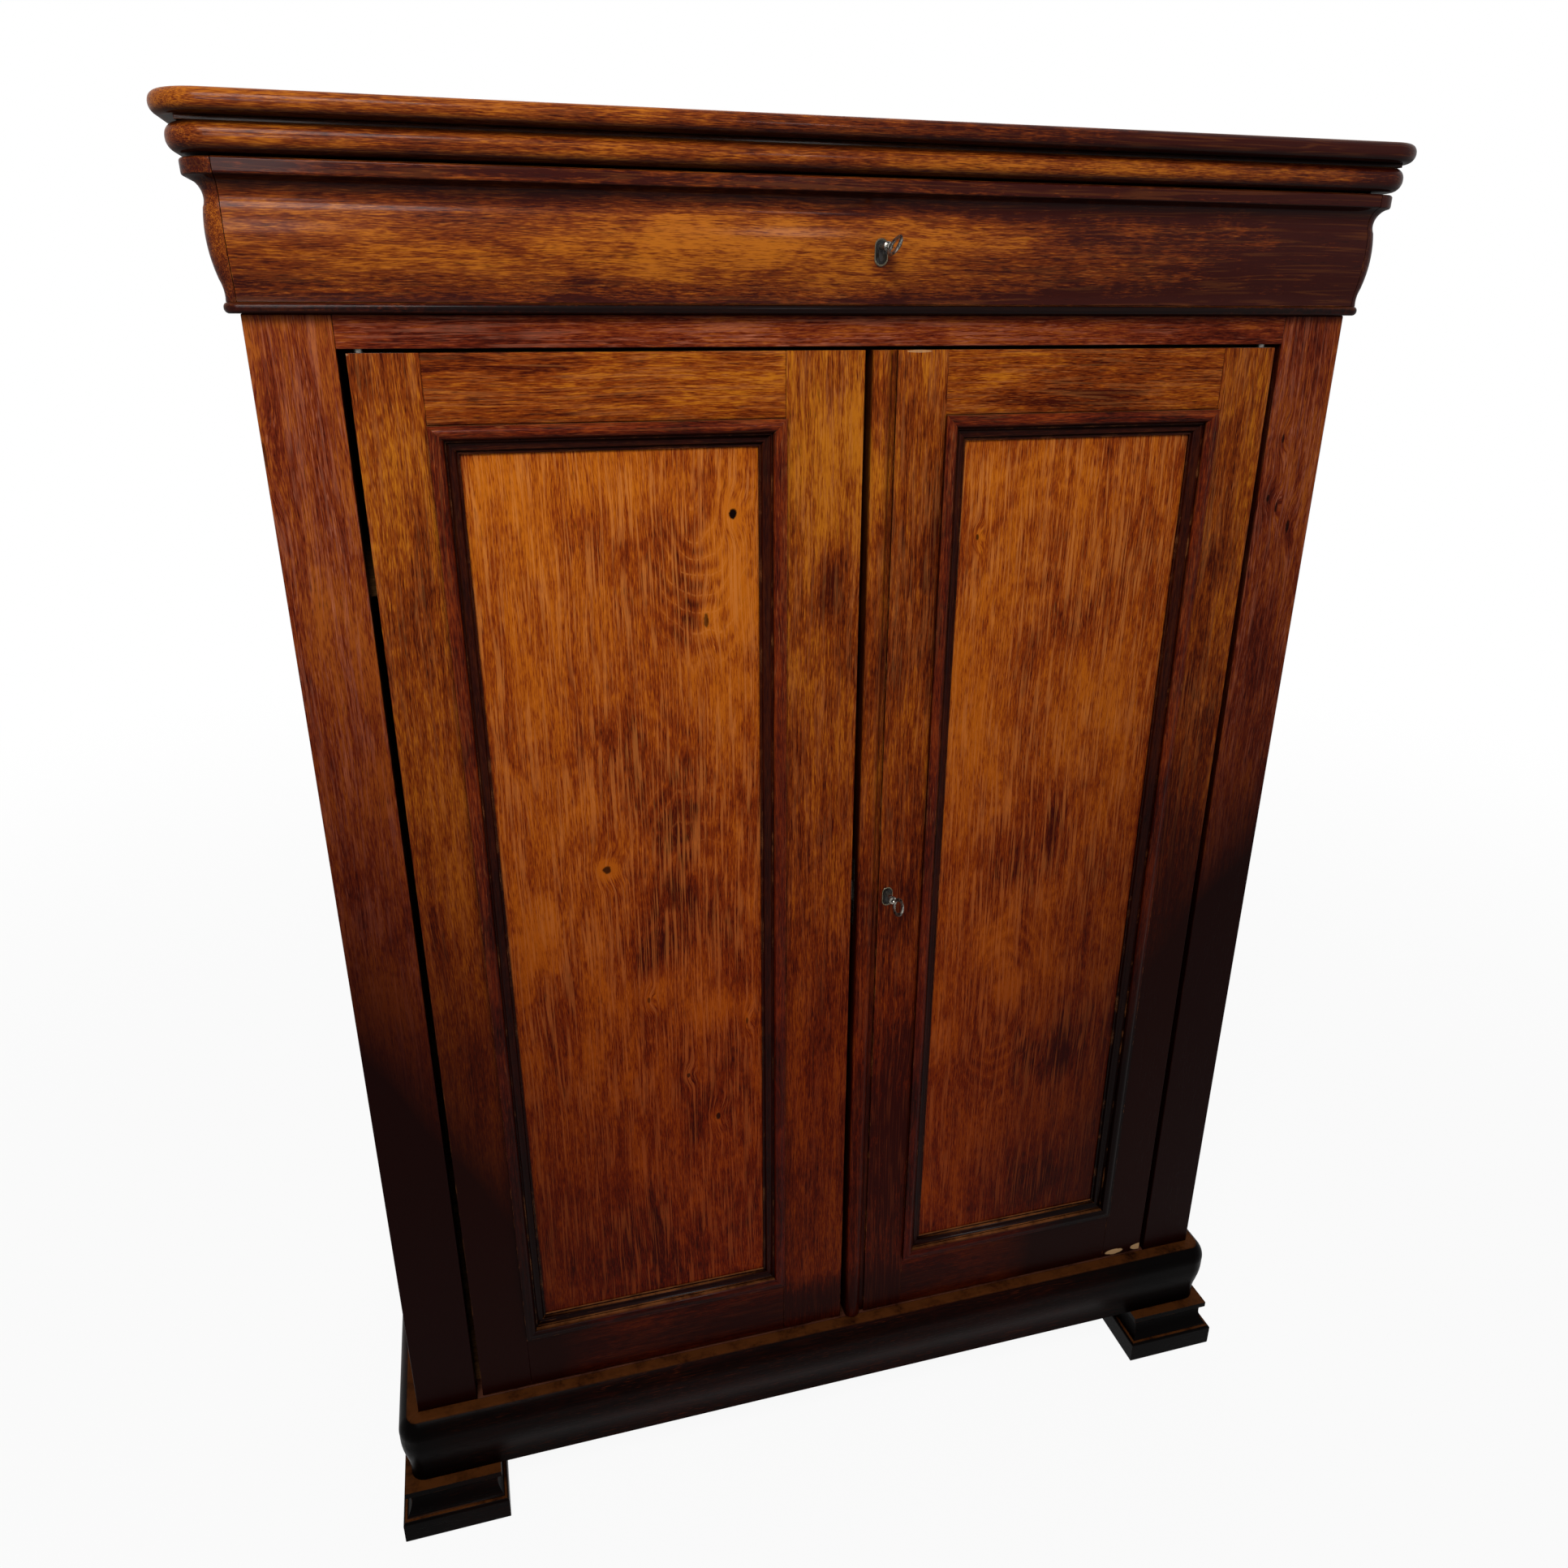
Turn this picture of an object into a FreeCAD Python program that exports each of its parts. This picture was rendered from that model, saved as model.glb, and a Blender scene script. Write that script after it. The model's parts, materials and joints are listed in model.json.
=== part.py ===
"""Two-door wardrobe with a drawer hidden in its ogee cornice.

The frame has +Z up, the floor at zero and the front facing -Y. The origin is the
middle of the whole object's box on the floor. Lengths are in millimetres.
"""
import FreeCAD, Part
import math
import os

import Sketcher

Vector = FreeCAD.Vector

# Driving dimensions: alias, value, what it is.
DIMENSIONS = (
    ("body_width", 1100.0, "width over the face frame"),
    ("body_depth", 520.0, "depth behind the face, back boards included"),
    ("foot_height", 73.0, "height of the block feet"),
    ("plinth_height", 97.0, "height of the moulded plinth"),
    ("opening_height", 1251.5, "height of the door opening above the plinth"),
    ("top_rail_height", 28.5, "height of the frame's top rail"),
    ("divider_thickness", 9.0, "dust board under the drawer, with the bead nose"),
    ("ogee_height", 92.8, "height of the hollow and swell of the drawer front"),
    ("strip_height", 12.9, "flat strip along the top of the drawer front"),
    ("cornice_member", 70.0, "boards of the cornice frame, inside the body's faces"),
    ("cornice_gap", 2.7, "open line between the strip and the moulding above"),
    ("cornice_thickness", 22.3, "half-round moulding board above the drawer"),
    ("shadow_gap", 3.6, "recessed neck under the top board"),
    ("top_thickness", 17.5, "top board"),
    ("stile_width", 72.0, "face frame stiles, seen from the front"),
    ("stile_depth", 30.0, "face frame, front to back"),
    ("side_thickness", 24.0, "side frames and cornice sides"),
    ("side_panel_thickness", 14.0, "side panels"),
    ("side_top_rail_height", 90.0, "upper rail of a side"),
    ("side_bottom_rail_height", 182.0, "lower rail of a side, behind the plinth"),
    ("rear_post_depth", 50.0, "rear posts, front to back"),
    ("back_thickness", 12.0, "back boards"),
    ("back_board_gap", 0.8, "open joint between back boards"),
    ("bottom_thickness", 18.0, "cupboard floor"),
    ("bead_reach", 12.0, "how far the bead stands out of the face"),
    ("ogee_foot_reach", 9.5, "drawer front, at its lower edge"),
    ("ogee_turn_reach", 12.0, "drawer front, where the hollow turns to the swell"),
    ("ogee_neck_reach", 15.0, "drawer front, where the swell meets the cove"),
    ("swell_reach", 16.4, "drawer front, at its fullest"),
    ("strip_reach", 27.0, "flat strip"),
    ("strip_round", 2.5, "rounding of the strip's two long edges"),
    ("cap_reach", 6.0, "cornice side above the strip"),
    ("cornice_reach", 34.0, "half-round moulding"),
    ("neck_reach", 22.0, "recessed neck under the top board"),
    ("top_reach", 42.0, "top board"),
    ("ledge_reach", 13.0, "flat ledge on top of the plinth"),
    ("plinth_swell_reach", 26.0, "plinth at its fullest"),
    ("plinth_waist_reach", 22.5, "plinth where its swell turns to the hollow"),
    ("plinth_foot_reach", 19.0, "plinth at its lower edge"),
    ("plinth_swell_height", 70.0, "height of the plinth's fullest point"),
    ("plinth_waist_height", 36.0, "height of the plinth's turn"),
    ("foot_width", 98.0, "front foot, from its inner side to the body's side"),
    ("foot_depth", 84.0, "front foot, from the face to its back"),
    ("foot_base_reach", 44.0, "front foot at its base, out of the face"),
    ("foot_side_reach", 33.0, "front foot at its base, out of the side"),
    ("foot_base_height", 36.0, "square base block of the foot"),
    ("foot_cap_height", 8.0, "square cap of the foot"),
    ("foot_cap_step", 11.0, "cap behind the base block at the front"),
    ("foot_side_step", 6.0, "cap behind the base block at the two sides"),
    ("foot_hollow_step", 4.0, "top of the foot's hollow behind its cap"),
    ("foot_round", 5.0, "rounded edges of the foot's base block"),
    ("rear_foot_width", 90.0, "rear foot, square in plan"),
    ("door_thickness", 24.0, "door frames"),
    ("hinge_gap", 7.5, "open line between a door and the stile it hangs beside"),
    ("meeting_gap", 7.5, "open line between the doors"),
    ("meeting_offset", 10.75, "how far right of centre the doors meet"),
    ("door_top_gap", 3.3, "open line above the doors"),
    ("door_bottom_gap", 3.5, "open line below the doors"),
    ("hinge_stile_width", 61.0, "door stile beside the frame"),
    ("meeting_stile_width", 80.0, "door stile in the middle"),
    ("door_top_rail_height", 62.0, "upper rail of a door"),
    ("door_bottom_rail_height", 80.0, "lower rail of a door"),
    ("tenon_length", 40.0, "tenons of the door rails"),
    ("tenon_thickness", 8.0, "tenons of the door rails"),
    ("tenon_shoulder", 15.0, "shoulder above and below a tenon"),
    ("panel_thickness", 9.0, "door panels"),
    ("panel_setback", 9.0, "door panel's face behind the frame's face"),
    ("panel_tongue", 8.0, "how deep the panel's edge sits in its groove"),
    ("moulding_width", 26.0, "panel moulding, across"),
    ("moulding_edge", 14.0, "panel moulding's outer edge, above the panel"),
    ("moulding_quirk", 6.0, "groove beside the moulding's bead, above the panel"),
    ("moulding_arris", 8.5, "sharp edge past that groove, above the panel"),
    ("moulding_ovolo", 5.0, "foot of the moulding's hollow, above the panel"),
    ("moulding_inner", 2.2, "moulding's inner edge, above the panel"),
    ("astragal_width", 20.0, "bead along the right door's meeting edge"),
    ("quirk_width", 6.5, "groove beside the bead"),
    ("quirk_depth", 3.0, "depth of that groove"),
    ("stop_thickness", 20.0, "door stops, front to back"),
    ("stop_height", 15.0, "door stops"),
    ("stop_clearance", 0.3, "between a closed door and its stops"),
    ("stop_inset", 38.0, "from the frame's stiles to the ends of the stops"),
    ("pivot_inset", 10.0, "pivot pin's axis from the door's outer edge"),
    ("pin_diameter", 8.0, "pivot pins"),
    ("pin_clearance", 0.05, "running clearance of a pin, on the radius"),
    ("pin_bore_clearance", 0.6, "room round a pin in the door's wood, on the radius"),
    ("pin_length", 12.0, "how far a pin reaches into the door"),
    ("pin_end_room", 2.0, "room past the end of a pin"),
    ("pivot_plate_length", 46.0, "pivot plates, along the door's edge"),
    ("pivot_plate_width", 16.0, "pivot plates, front to back"),
    ("pivot_plate_thickness", 2.0, "pivot plates"),
    ("pivot_plate_overhang", 8.0, "pivot plate past the pin's axis, towards the stile"),
    ("washer_diameter", 15.0, "washer that carries the door"),
    ("washer_clearance", 0.25, "between that washer and the door's plate"),
    ("lock_offset", 41.25, "key of the doors, from the middle of the meeting gap"),
    ("lock_height", 650.0, "key of the doors, above the plinth"),
    ("case_length", 64.0, "door lock case, along its bolt's travel"),
    ("drawer_case_length", 80.0, "drawer lock case, along its bolt's travel"),
    ("case_width", 86.0, "lock cases, across the bolt's travel"),
    ("case_depth", 12.0, "lock case, front to back"),
    ("case_wall", 1.2, "sheet of the lock case"),
    ("bolt_length", 23.0, "lock bolt"),
    ("bolt_width", 24.0, "lock bolt"),
    ("bolt_thickness", 5.0, "lock bolt"),
    ("bolt_clearance", 0.3, "room round a lock bolt in its slot"),
    ("bolt_setback", 0.4, "lock bolt's end behind the case's edge"),
    ("strike_depth", 14.0, "mortise that a lock bolt shoots into"),
    ("strike_thickness", 1.5, "strike plate"),
    ("strike_length", 44.0, "strike plate, up the door's edge"),
    ("strike_width", 10.0, "strike plate, front to back"),
    ("shank_diameter", 6.0, "key shank"),
    ("shank_clearance", 0.1, "room round a key shank, on the radius"),
    ("keyhole_slot_width", 3.6, "slot of a keyhole"),
    ("keyhole_slot_drop", 11.0, "slot of a keyhole, below the shank's axis"),
    ("key_reach", 50.0, "how far a key stands out of the wood"),
    ("bow_length", 28.0, "key bow, along the shank"),
    ("bow_width", 22.0, "key bow, across the shank"),
    ("bow_bar", 3.6, "bar of the key bow"),
    ("collar_diameter", 9.0, "collar of the key"),
    ("collar_length", 3.0, "collar of the key"),
    ("bit_length", 8.5, "key bit, out of the shank"),
    ("bit_width", 6.0, "key bit, along the shank"),
    ("bit_thickness", 2.6, "key bit"),
    ("escutcheon_height", 24.0, "keyhole plate"),
    ("escutcheon_width", 13.0, "keyhole plate"),
    ("escutcheon_thickness", 1.0, "keyhole plate"),
    ("escutcheon_proud", 0.5, "how far a keyhole plate stands out of the wood"),
    ("drawer_lock_offset", 14.0, "drawer key, right of centre"),
    ("drawer_lock_height", 48.7, "drawer key, above the drawer front's lower edge"),
    ("drawer_front_depth", 22.0, "drawer front behind the face"),
    ("drawer_front_gap", 0.6, "drawer front to the cornice sides, at each end"),
    ("drawer_lap_gap", 0.3, "drawer front's lap to the ends of the cornice sides"),
    ("drawer_rest_gap", 0.3, "drawer above the dust board"),
    ("drawer_side_gap", 0.5, "drawer side to the cornice side"),
    ("drawer_side_thickness", 12.0, "drawer sides and back"),
    ("drawer_side_height", 82.0, "drawer sides"),
    ("drawer_back_height", 68.0, "drawer back"),
    ("drawer_room", 56.0, "room behind the closed drawer"),
    ("drawer_bottom_thickness", 7.0, "drawer bottom"),
    ("drawer_bottom_height", 8.0, "drawer bottom above the sides' lower edge"),
    ("drawer_groove", 6.0, "groove that holds the drawer bottom"),
    ("shelf_drop", 213.0, "hat shelf below the door opening's top"),
    ("shelf_thickness", 18.0, "hat shelf"),
    ("shelf_setback", 62.0, "hat shelf's front behind the face"),
    ("shelf_clearance", 0.4, "hat shelf to the sides and back"),
    ("cleat_height", 25.0, "shelf cleats"),
    ("cleat_thickness", 20.0, "shelf cleats"),
    ("rod_diameter", 25.0, "hanging rail"),
    ("rod_drop", 60.0, "hanging rail's axis below the shelf"),
    ("socket_diameter", 42.0, "sockets of the hanging rail"),
    ("socket_thickness", 14.0, "sockets of the hanging rail"),
    ("socket_depth", 8.0, "bore of those sockets"),
    ("socket_clearance", 0.3, "room round the hanging rail, on the radius"),
    ("catch_plate_width", 26.0, "back plate of a slide bolt"),
    ("catch_plate_length", 110.0, "back plate of a slide bolt"),
    ("catch_plate_thickness", 2.0, "back plate of a slide bolt"),
    ("catch_guide_depth", 12.0, "guides of a slide bolt"),
    ("catch_guide_height", 8.0, "guides of a slide bolt"),
    ("catch_rod_diameter", 8.0, "slide bolt"),
    ("catch_rod_clearance", 0.08, "slide bolt in its guides, on the radius"),
    ("catch_hole_clearance", 0.6, "slide bolt in the door stop, on the radius"),
    ("catch_inset", 40.0, "slide bolt's axis from the door's meeting edge"),
    ("catch_end_gap", 1.0, "slide bolt's end to the door stop"),
    ("catch_plate_gap", 12.0, "back plate's end to the door stop"),
    ("catch_knob_diameter", 9.0, "knob of a slide bolt"),
    ("catch_knob_length", 11.0, "knob of a slide bolt"),
    ("overrun", 2.0, "how far a cut runs past the wood"),
)

# Shares of the sizes that they follow, chosen by eye.
QUARTER_ROUND = math.tan(math.radians(22.5))
HALF_ROUND = 1.0
OGEE_HOLLOW_BOW_SHARE = 0.14
OGEE_SWELL_BOW_SHARE = 0.115
OGEE_TURN_HEIGHT_SHARE = 0.19
OGEE_NECK_HEIGHT_SHARE = 0.76
COVE_BOW_SHARE = 0.46
NOSE_ROUND_SHARE = 0.47
PLINTH_HOLLOW_BOW_SHARE = 0.1
PLINTH_SWELL_BOW_SHARE = 0.08
PLINTH_SHOULDER_BOW_SHARE = 0.3
FOOT_HOLLOW_BOW_SHARE = 0.3
ASTRAGAL_BOW_SHARE = 0.65
MOULDING_FILLET_SHARE = 0.12
MOULDING_BEAD_SHARE = 0.5
MOULDING_QUIRK_SHARE = 0.53
MOULDING_ARRIS_SHARE = 0.57
MOULDING_HOLLOW_SHARE = 0.77
MOULDING_OVOLO_SHARE = 0.92
MOULDING_BEAD_BOW_SHARE = 0.75
MOULDING_HOLLOW_BOW_SHARE = 0.3
MOULDING_OVOLO_BOW_SHARE = 0.5
BACK_BOARD_COUNT = 6
DRAWER_KEY_TILT = 28.0
DOOR_KEY_TILT = 20.0
MITRE = 45.0
SQUARE = 90.0
FULL_TURN = 360.0

doc = FreeCAD.newDocument("wardrobe")
sheet = doc.addObject("Spreadsheet::Sheet", "sizes")


class Size:
    """A length with the formula that binds it to the sheet."""

    def __init__(self, value, text):
        self.value = value
        self.text = text

    def _join(self, other, sign, value, swapped=False):
        right = other.text if isinstance(other, Size) else repr(float(other))
        pair = (right, self.text) if swapped else (self.text, right)
        return Size(value, "(%s %s %s)" % (pair[0], sign, pair[1]))

    def __add__(self, other):
        return self._join(other, "+", self.value + number(other))

    def __radd__(self, other):
        return self._join(other, "+", number(other) + self.value, True)

    def __sub__(self, other):
        return self._join(other, "-", self.value - number(other))

    def __rsub__(self, other):
        return self._join(other, "-", number(other) - self.value, True)

    def __mul__(self, other):
        return self._join(other, "*", self.value * number(other))

    def __rmul__(self, other):
        return self._join(other, "*", number(other) * self.value, True)

    def __truediv__(self, other):
        return self._join(other, "/", self.value / number(other))

    def __neg__(self):
        return Size(-self.value, "(0 - %s)" % self.text)


def number(length):
    """The plain number of a size or of a number."""
    return length.value if isinstance(length, Size) else float(length)


class Named:
    """Holds each size of the sheet under its alias."""


def fill_sheet():
    """Write the driving dimensions into the sheet and give back their sizes."""
    named = Named()
    for row, (alias, value, note) in enumerate(DIMENSIONS, start=1):
        sheet.set("A%d" % row, alias)
        sheet.set("B%d" % row, str(value))
        sheet.setAlias("B%d" % row, alias)
        sheet.set("C%d" % row, note)
        setattr(named, alias, Size(value, "sizes." + alias))
    return named


S = fill_sheet()
doc.recompute()
ZERO = Size(0.0, "0")

# Places that many pieces share, from the driving dimensions.
half = S.body_width / 2
inner = half - S.side_thickness
opening = half - S.stile_width
face = -(S.body_depth - S.swell_reach - S.key_reach) / 2
rear = face + S.body_depth
boards_face = rear - S.back_thickness
ledge = S.foot_height + S.plinth_height
opening_top = ledge + S.opening_height
frame_top = opening_top + S.top_rail_height
bead_top = frame_top + S.divider_thickness
strip_base = bead_top + S.ogee_height
strip_top = strip_base + S.strip_height
cornice_base = strip_top + S.cornice_gap
cornice_top = cornice_base + S.cornice_thickness
board_base = cornice_top + S.shadow_gap
door_base = ledge + S.door_bottom_gap
door_top = opening_top - S.door_top_gap
pivot_y = face + S.door_thickness / 2
stop_face = face + S.door_thickness + S.stop_clearance
PARTS = []


def bind(part, place, length):
    """Bind one property of an object to a size."""
    part.setExpression(place, length.text)


def kept(part):
    """Note a finished sub-part, which is written to its own file."""
    PARTS.append(part)
    return part


def box(name, x, y, z):
    """Board between two values on each axis."""
    part = doc.addObject("Part::Box", name)
    for side, axis, (low, high) in zip(("Length", "Width", "Height"), "xyz", (x, y, z)):
        bind(part, side, high - low)
        bind(part, "Placement.Base." + axis, low)
    return part


def rod(name, base, diameter, length, turn=None):
    """Round bar from base, along +Z or turned from there."""
    part = doc.addObject("Part::Cylinder", name)
    if turn is not None:
        part.Placement = FreeCAD.Placement(Vector(), turn)
    bind(part, "Radius", diameter / 2)
    bind(part, "Height", length)
    for axis, place in zip("xyz", base):
        bind(part, "Placement.Base." + axis, place)
    return part


ALONG_X = FreeCAD.Rotation(Vector(0, 1, 0), SQUARE)
ALONG_Y = FreeCAD.Rotation(Vector(1, 0, 0), -SQUARE)


def fused(name, *pieces):
    """Pieces joined into one solid."""
    part = doc.addObject("Part::MultiFuse", name)
    part.Shapes = list(pieces)
    part.Refine = True
    return part


def grouped(name, *pieces):
    """Separate solids that share one node."""
    part = doc.addObject("Part::Compound", name)
    part.Links = list(pieces)
    return part


def cut(name, wood, *tools):
    """Wood with the tools' shapes taken out."""
    part = doc.addObject("Part::Cut", name)
    part.Base = wood
    part.Tool = tools[0] if len(tools) == 1 else fused(name + "_cuts", *tools)
    return part


def shared(name, first, second):
    """What two shapes have in common."""
    part = doc.addObject("Part::MultiCommon", name)
    part.Shapes = [first, second]
    return part


def mirrored(name, source):
    """The same piece on the other side of the middle."""
    part = doc.addObject("Part::Mirroring", name)
    part.Source = source
    part.Normal = Vector(1, 0, 0)
    return part


def arc_centre(start, end, bow):
    """Centre of an arc whose sagitta is bow times its half chord, left turns positive."""
    rise = (1 - bow * bow) / (4 * bow)
    u = (start[0] + end[0]) / 2 - (end[1] - start[1]) * rise
    v = (start[1] + end[1]) / 2 + (end[0] - start[0]) * rise
    return u, v


def pin_point(sketch, geometry, position, place):
    """Hold one point of a sketch at a place given in sizes."""
    for kind, length in zip(("DistanceX", "DistanceY"), place):
        index = sketch.addConstraint(
            Sketcher.Constraint(kind, -1, 1, geometry, position, number(length)))
        sketch.setExpression("Constraints[%d]" % index, length.text)


def draw(sketch, steps):
    """Draw a closed outline.

    A step is (u, v) for a line to that point, or (u, v, bow) for an arc. The first
    step is only where the outline starts, and the last line closes it.
    """
    corners = [step[:2] for step in steps]
    bows = [step[2] if len(step) == 3 else None for step in steps]
    count = len(steps)
    ends = []
    for index in range(count):
        start, end = corners[index], corners[(index + 1) % count]
        bow = bows[(index + 1) % count]
        first = Vector(number(start[0]), number(start[1]), 0)
        last = Vector(number(end[0]), number(end[1]), 0)
        if bow is None:
            edge = sketch.addGeometry(Part.LineSegment(first, last))
            ends.append((edge, 1, 2))
            continue
        centre = arc_centre(start, end, bow)
        middle = Vector(number(centre[0]), number(centre[1]), 0)
        radius = first.distanceToPoint(middle)
        if bow < 0:
            first, last = last, first
        angles = [math.atan2(p.y - middle.y, p.x - middle.x) for p in (first, last)]
        if angles[1] < angles[0]:
            angles[1] += 2 * math.pi
        circle = Part.Circle(middle, Vector(0, 0, 1), radius)
        edge = sketch.addGeometry(Part.ArcOfCircle(circle, angles[0], angles[1]))
        ends.append((edge, 1, 2) if bow > 0 else (edge, 2, 1))
        upright = abs(last.y - first.y) >= abs(last.x - first.x)
        kind, length = ("DistanceX", centre[0]) if upright else ("DistanceY", centre[1])
        held = sketch.addConstraint(Sketcher.Constraint(kind, -1, 1, edge, 3, number(length)))
        sketch.setExpression("Constraints[%d]" % held, length.text)
    for index in range(count):
        edge, start, end = ends[index]
        following = ends[(index + 1) % count]
        sketch.addConstraint(
            Sketcher.Constraint("Coincident", edge, end, following[0], following[1]))
        pin_point(sketch, edge, start, corners[index])
    return sketch


# Sketch planes: the sketch's own u and v in the frame's directions.
FRONT_SECTION = FreeCAD.Rotation(Vector(0, -1, 0), Vector(0, 0, 1), Vector(-1, 0, 0), "ZXY")
LEFT_SECTION = FreeCAD.Rotation(Vector(-1, 0, 0), Vector(0, 0, 1), Vector(0, 1, 0), "ZXY")
FRONT_VIEW = FreeCAD.Rotation(Vector(1, 0, 0), Vector(0, 0, 1), Vector(0, -1, 0), "ZXY")
PLAN = FreeCAD.Rotation()
KEY_PLANE = FreeCAD.Rotation(Vector(0, 0, -1), Vector(0, 1, 0), Vector(1, 0, 0), "ZXY")
# Sections of the panel mouldings: u runs from the frame over the panel, v to the front.
STRIP_SECTIONS = {
    "bottom": FreeCAD.Rotation(Vector(0, 0, 1), Vector(0, -1, 0), Vector(1, 0, 0), "ZXY"),
    "right": FreeCAD.Rotation(Vector(-1, 0, 0), Vector(0, -1, 0), Vector(0, 0, 1), "ZXY"),
    "top": FreeCAD.Rotation(Vector(0, 0, -1), Vector(0, -1, 0), Vector(-1, 0, 0), "ZXY"),
    "left": FreeCAD.Rotation(Vector(1, 0, 0), Vector(0, -1, 0), Vector(0, 0, -1), "ZXY"),
}


def section(name, plane, base, steps):
    """A section drawn on a plane through base."""
    sketch = doc.addObject("Sketcher::SketchObject", name)
    sketch.Placement = FreeCAD.Placement(Vector(), plane)
    for axis, place in zip("xyz", base):
        bind(sketch, "Placement.Base." + axis, place)
    return draw(sketch, steps)


def run(name, sketch, direction, length):
    """A section carried straight along a direction."""
    part = doc.addObject("Part::Extrusion", name)
    part.Base = sketch
    part.DirMode = "Custom"
    part.Dir = direction
    part.Solid = True
    bind(part, "LengthFwd", length)
    return part


def turned(name, sketch, x, y, angle):
    """A section turned about the upright line through x and y."""
    part = doc.addObject("Part::Revolution", name)
    part.Source = sketch
    part.Axis = Vector(0, 0, 1 if angle > 0 else -1)
    part.Angle = abs(angle)
    part.Solid = True
    bind(part, "Base.x", x)
    bind(part, "Base.y", y)
    return part


def body_sketch(body, name, steps):
    """A sketch on a body's own ground plane."""
    sketch = body.newObject("Sketcher::SketchObject", name)
    ground = [f for f in body.Origin.OriginFeatures if f.Role == "XY_Plane"][0]
    sketch.AttachmentSupport = [(ground, "")]
    sketch.MapMode = "FlatFace"
    return draw(sketch, steps)


def board_plan(reach):
    """Plan of a board over the whole body, its front corners rounded about the body's."""
    side = half + reach
    return [
        (-side, rear),
        (-side, face),
        (-half, face - reach, QUARTER_ROUND),
        (half, face - reach),
        (side, face, QUARTER_ROUND),
        (side, rear),
    ]


def nosed_board(name, reach, base, thickness):
    """Board over the whole body whose front and side edges are rounded to a nose."""
    body = doc.addObject("PartDesign::Body", name)
    bind(body, "Placement.Base.z", base)
    plan = body_sketch(body, name + "_plan", board_plan(reach))
    pad = body.newObject("PartDesign::Pad", name + "_pad")
    pad.Profile = plan
    bind(pad, "Length", thickness)
    doc.recompute()
    edges = []
    for index, edge in enumerate(pad.Shape.Edges, start=1):
        bounds = edge.BoundBox
        level = bounds.ZLength < number(S.overrun)
        at_back = bounds.YMin > number(rear) - number(S.overrun)
        if level and not at_back:
            edges.append("Edge%d" % index)
    nose = body.newObject("PartDesign::Fillet", name + "_nose")
    nose.Base = (pad, edges)
    bind(nose, "Radius", thickness * NOSE_ROUND_SHARE)
    body.Tip = nose
    return body


def face_frame():
    """Stiles and rails that the doors close into."""
    stile = box("left_stile", (-half, -opening), (face, face + S.stile_depth),
                (S.foot_height, frame_top))
    kept(stile)
    kept(mirrored("right_stile", stile))
    depth = (face, face + S.stile_depth)
    top = box("top_rail_wood", (-opening, opening), depth, (opening_top, frame_top))
    bottom = box("bottom_rail_wood", (-opening, opening), depth, (S.foot_height, ledge))
    kept(cut("top_rail", top, *frame_plates("top_rail", opening_top, S.pivot_plate_thickness)))
    kept(cut("bottom_rail", bottom,
             *frame_plates("bottom_rail", ledge - S.pivot_plate_thickness,
                           S.pivot_plate_thickness)))


def pivot_x(side):
    """Where a door's pivot axis stands: side is -1 for the left door, 1 for the right."""
    return (opening - S.hinge_gap - S.pivot_inset) * side


def plate_span(side):
    """A pivot plate's ends, from the stile inwards."""
    outer = pivot_x(side) + S.pivot_plate_overhang * side
    inward = outer - S.pivot_plate_length * side
    return (outer, inward) if side < 0 else (inward, outer)


def frame_plates(name, base, thickness):
    """Both pivot plates of one rail of the frame, as plain slabs."""
    across = (pivot_y - S.pivot_plate_width / 2, pivot_y + S.pivot_plate_width / 2)
    return [box("%s_plate_%s" % (name, word), plate_span(side), across, (base, base + thickness))
            for word, side in (("left", -1), ("right", 1))]


def frame_pivots():
    """Plates let into the frame's rails, each with the pin that a door turns on."""
    pieces = []
    thickness = S.pivot_plate_thickness
    lower = frame_plates("lower_pivot", ledge - thickness, thickness)
    upper = frame_plates("upper_pivot", opening_top, thickness)
    for index, side in enumerate((-1, 1)):
        x = pivot_x(side)
        word = "left" if side < 0 else "right"
        reach = S.pin_length + S.door_bottom_gap
        pin = rod("lower_pin_" + word, (x, pivot_y, ledge), S.pin_diameter, reach)
        washer = rod("lower_washer_" + word, (x, pivot_y, ledge), S.washer_diameter,
                     S.door_bottom_gap - S.washer_clearance)
        pieces.append(fused("lower_pivot_" + word, lower[index], pin, washer))
        reach = S.pin_length + S.door_top_gap
        pin = rod("upper_pin_" + word, (x, pivot_y, opening_top - reach), S.pin_diameter, reach)
        pieces.append(fused("upper_pivot_" + word, upper[index], pin))
    kept(grouped("frame_pivot_pins", *pieces))


def sides():
    """Framed and panelled sides, with the posts at the back."""
    depth = (face + S.stile_depth, rear - S.rear_post_depth)
    wall = (-half, -inner)
    post = box("left_rear_post", wall, (depth[1], rear), (S.foot_height, frame_top))
    kept(grouped("rear_posts", post, mirrored("right_rear_post", post)))
    low_top = S.foot_height + S.side_bottom_rail_height
    high_base = frame_top - S.side_top_rail_height
    high = box("left_side_high_rail", wall, depth, (high_base, frame_top))
    low = box("left_side_low_rail", wall, depth, (S.foot_height, low_top))
    rails = grouped("left_side_rails", high, low)
    kept(grouped("side_rails", rails, mirrored("right_side_rails", rails)))
    panel = box("left_side_panel", (-inner - S.side_panel_thickness, -inner), depth,
                (low_top, high_base))
    kept(panel)
    kept(mirrored("right_side_panel", panel))


def back_boards():
    """Upright boards that close the back, from the feet to the dust board."""
    pitch = inner * 2 / BACK_BOARD_COUNT
    boards = []
    for index in range(BACK_BOARD_COUNT):
        left = -inner + pitch * index
        right = left + pitch
        if index < BACK_BOARD_COUNT - 1:
            right = right - S.back_board_gap
        boards.append(box("back_board_%d" % index, (left, right), (boards_face, rear),
                          (S.foot_height, frame_top)))
    kept(grouped("back_boards", *boards))


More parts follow.
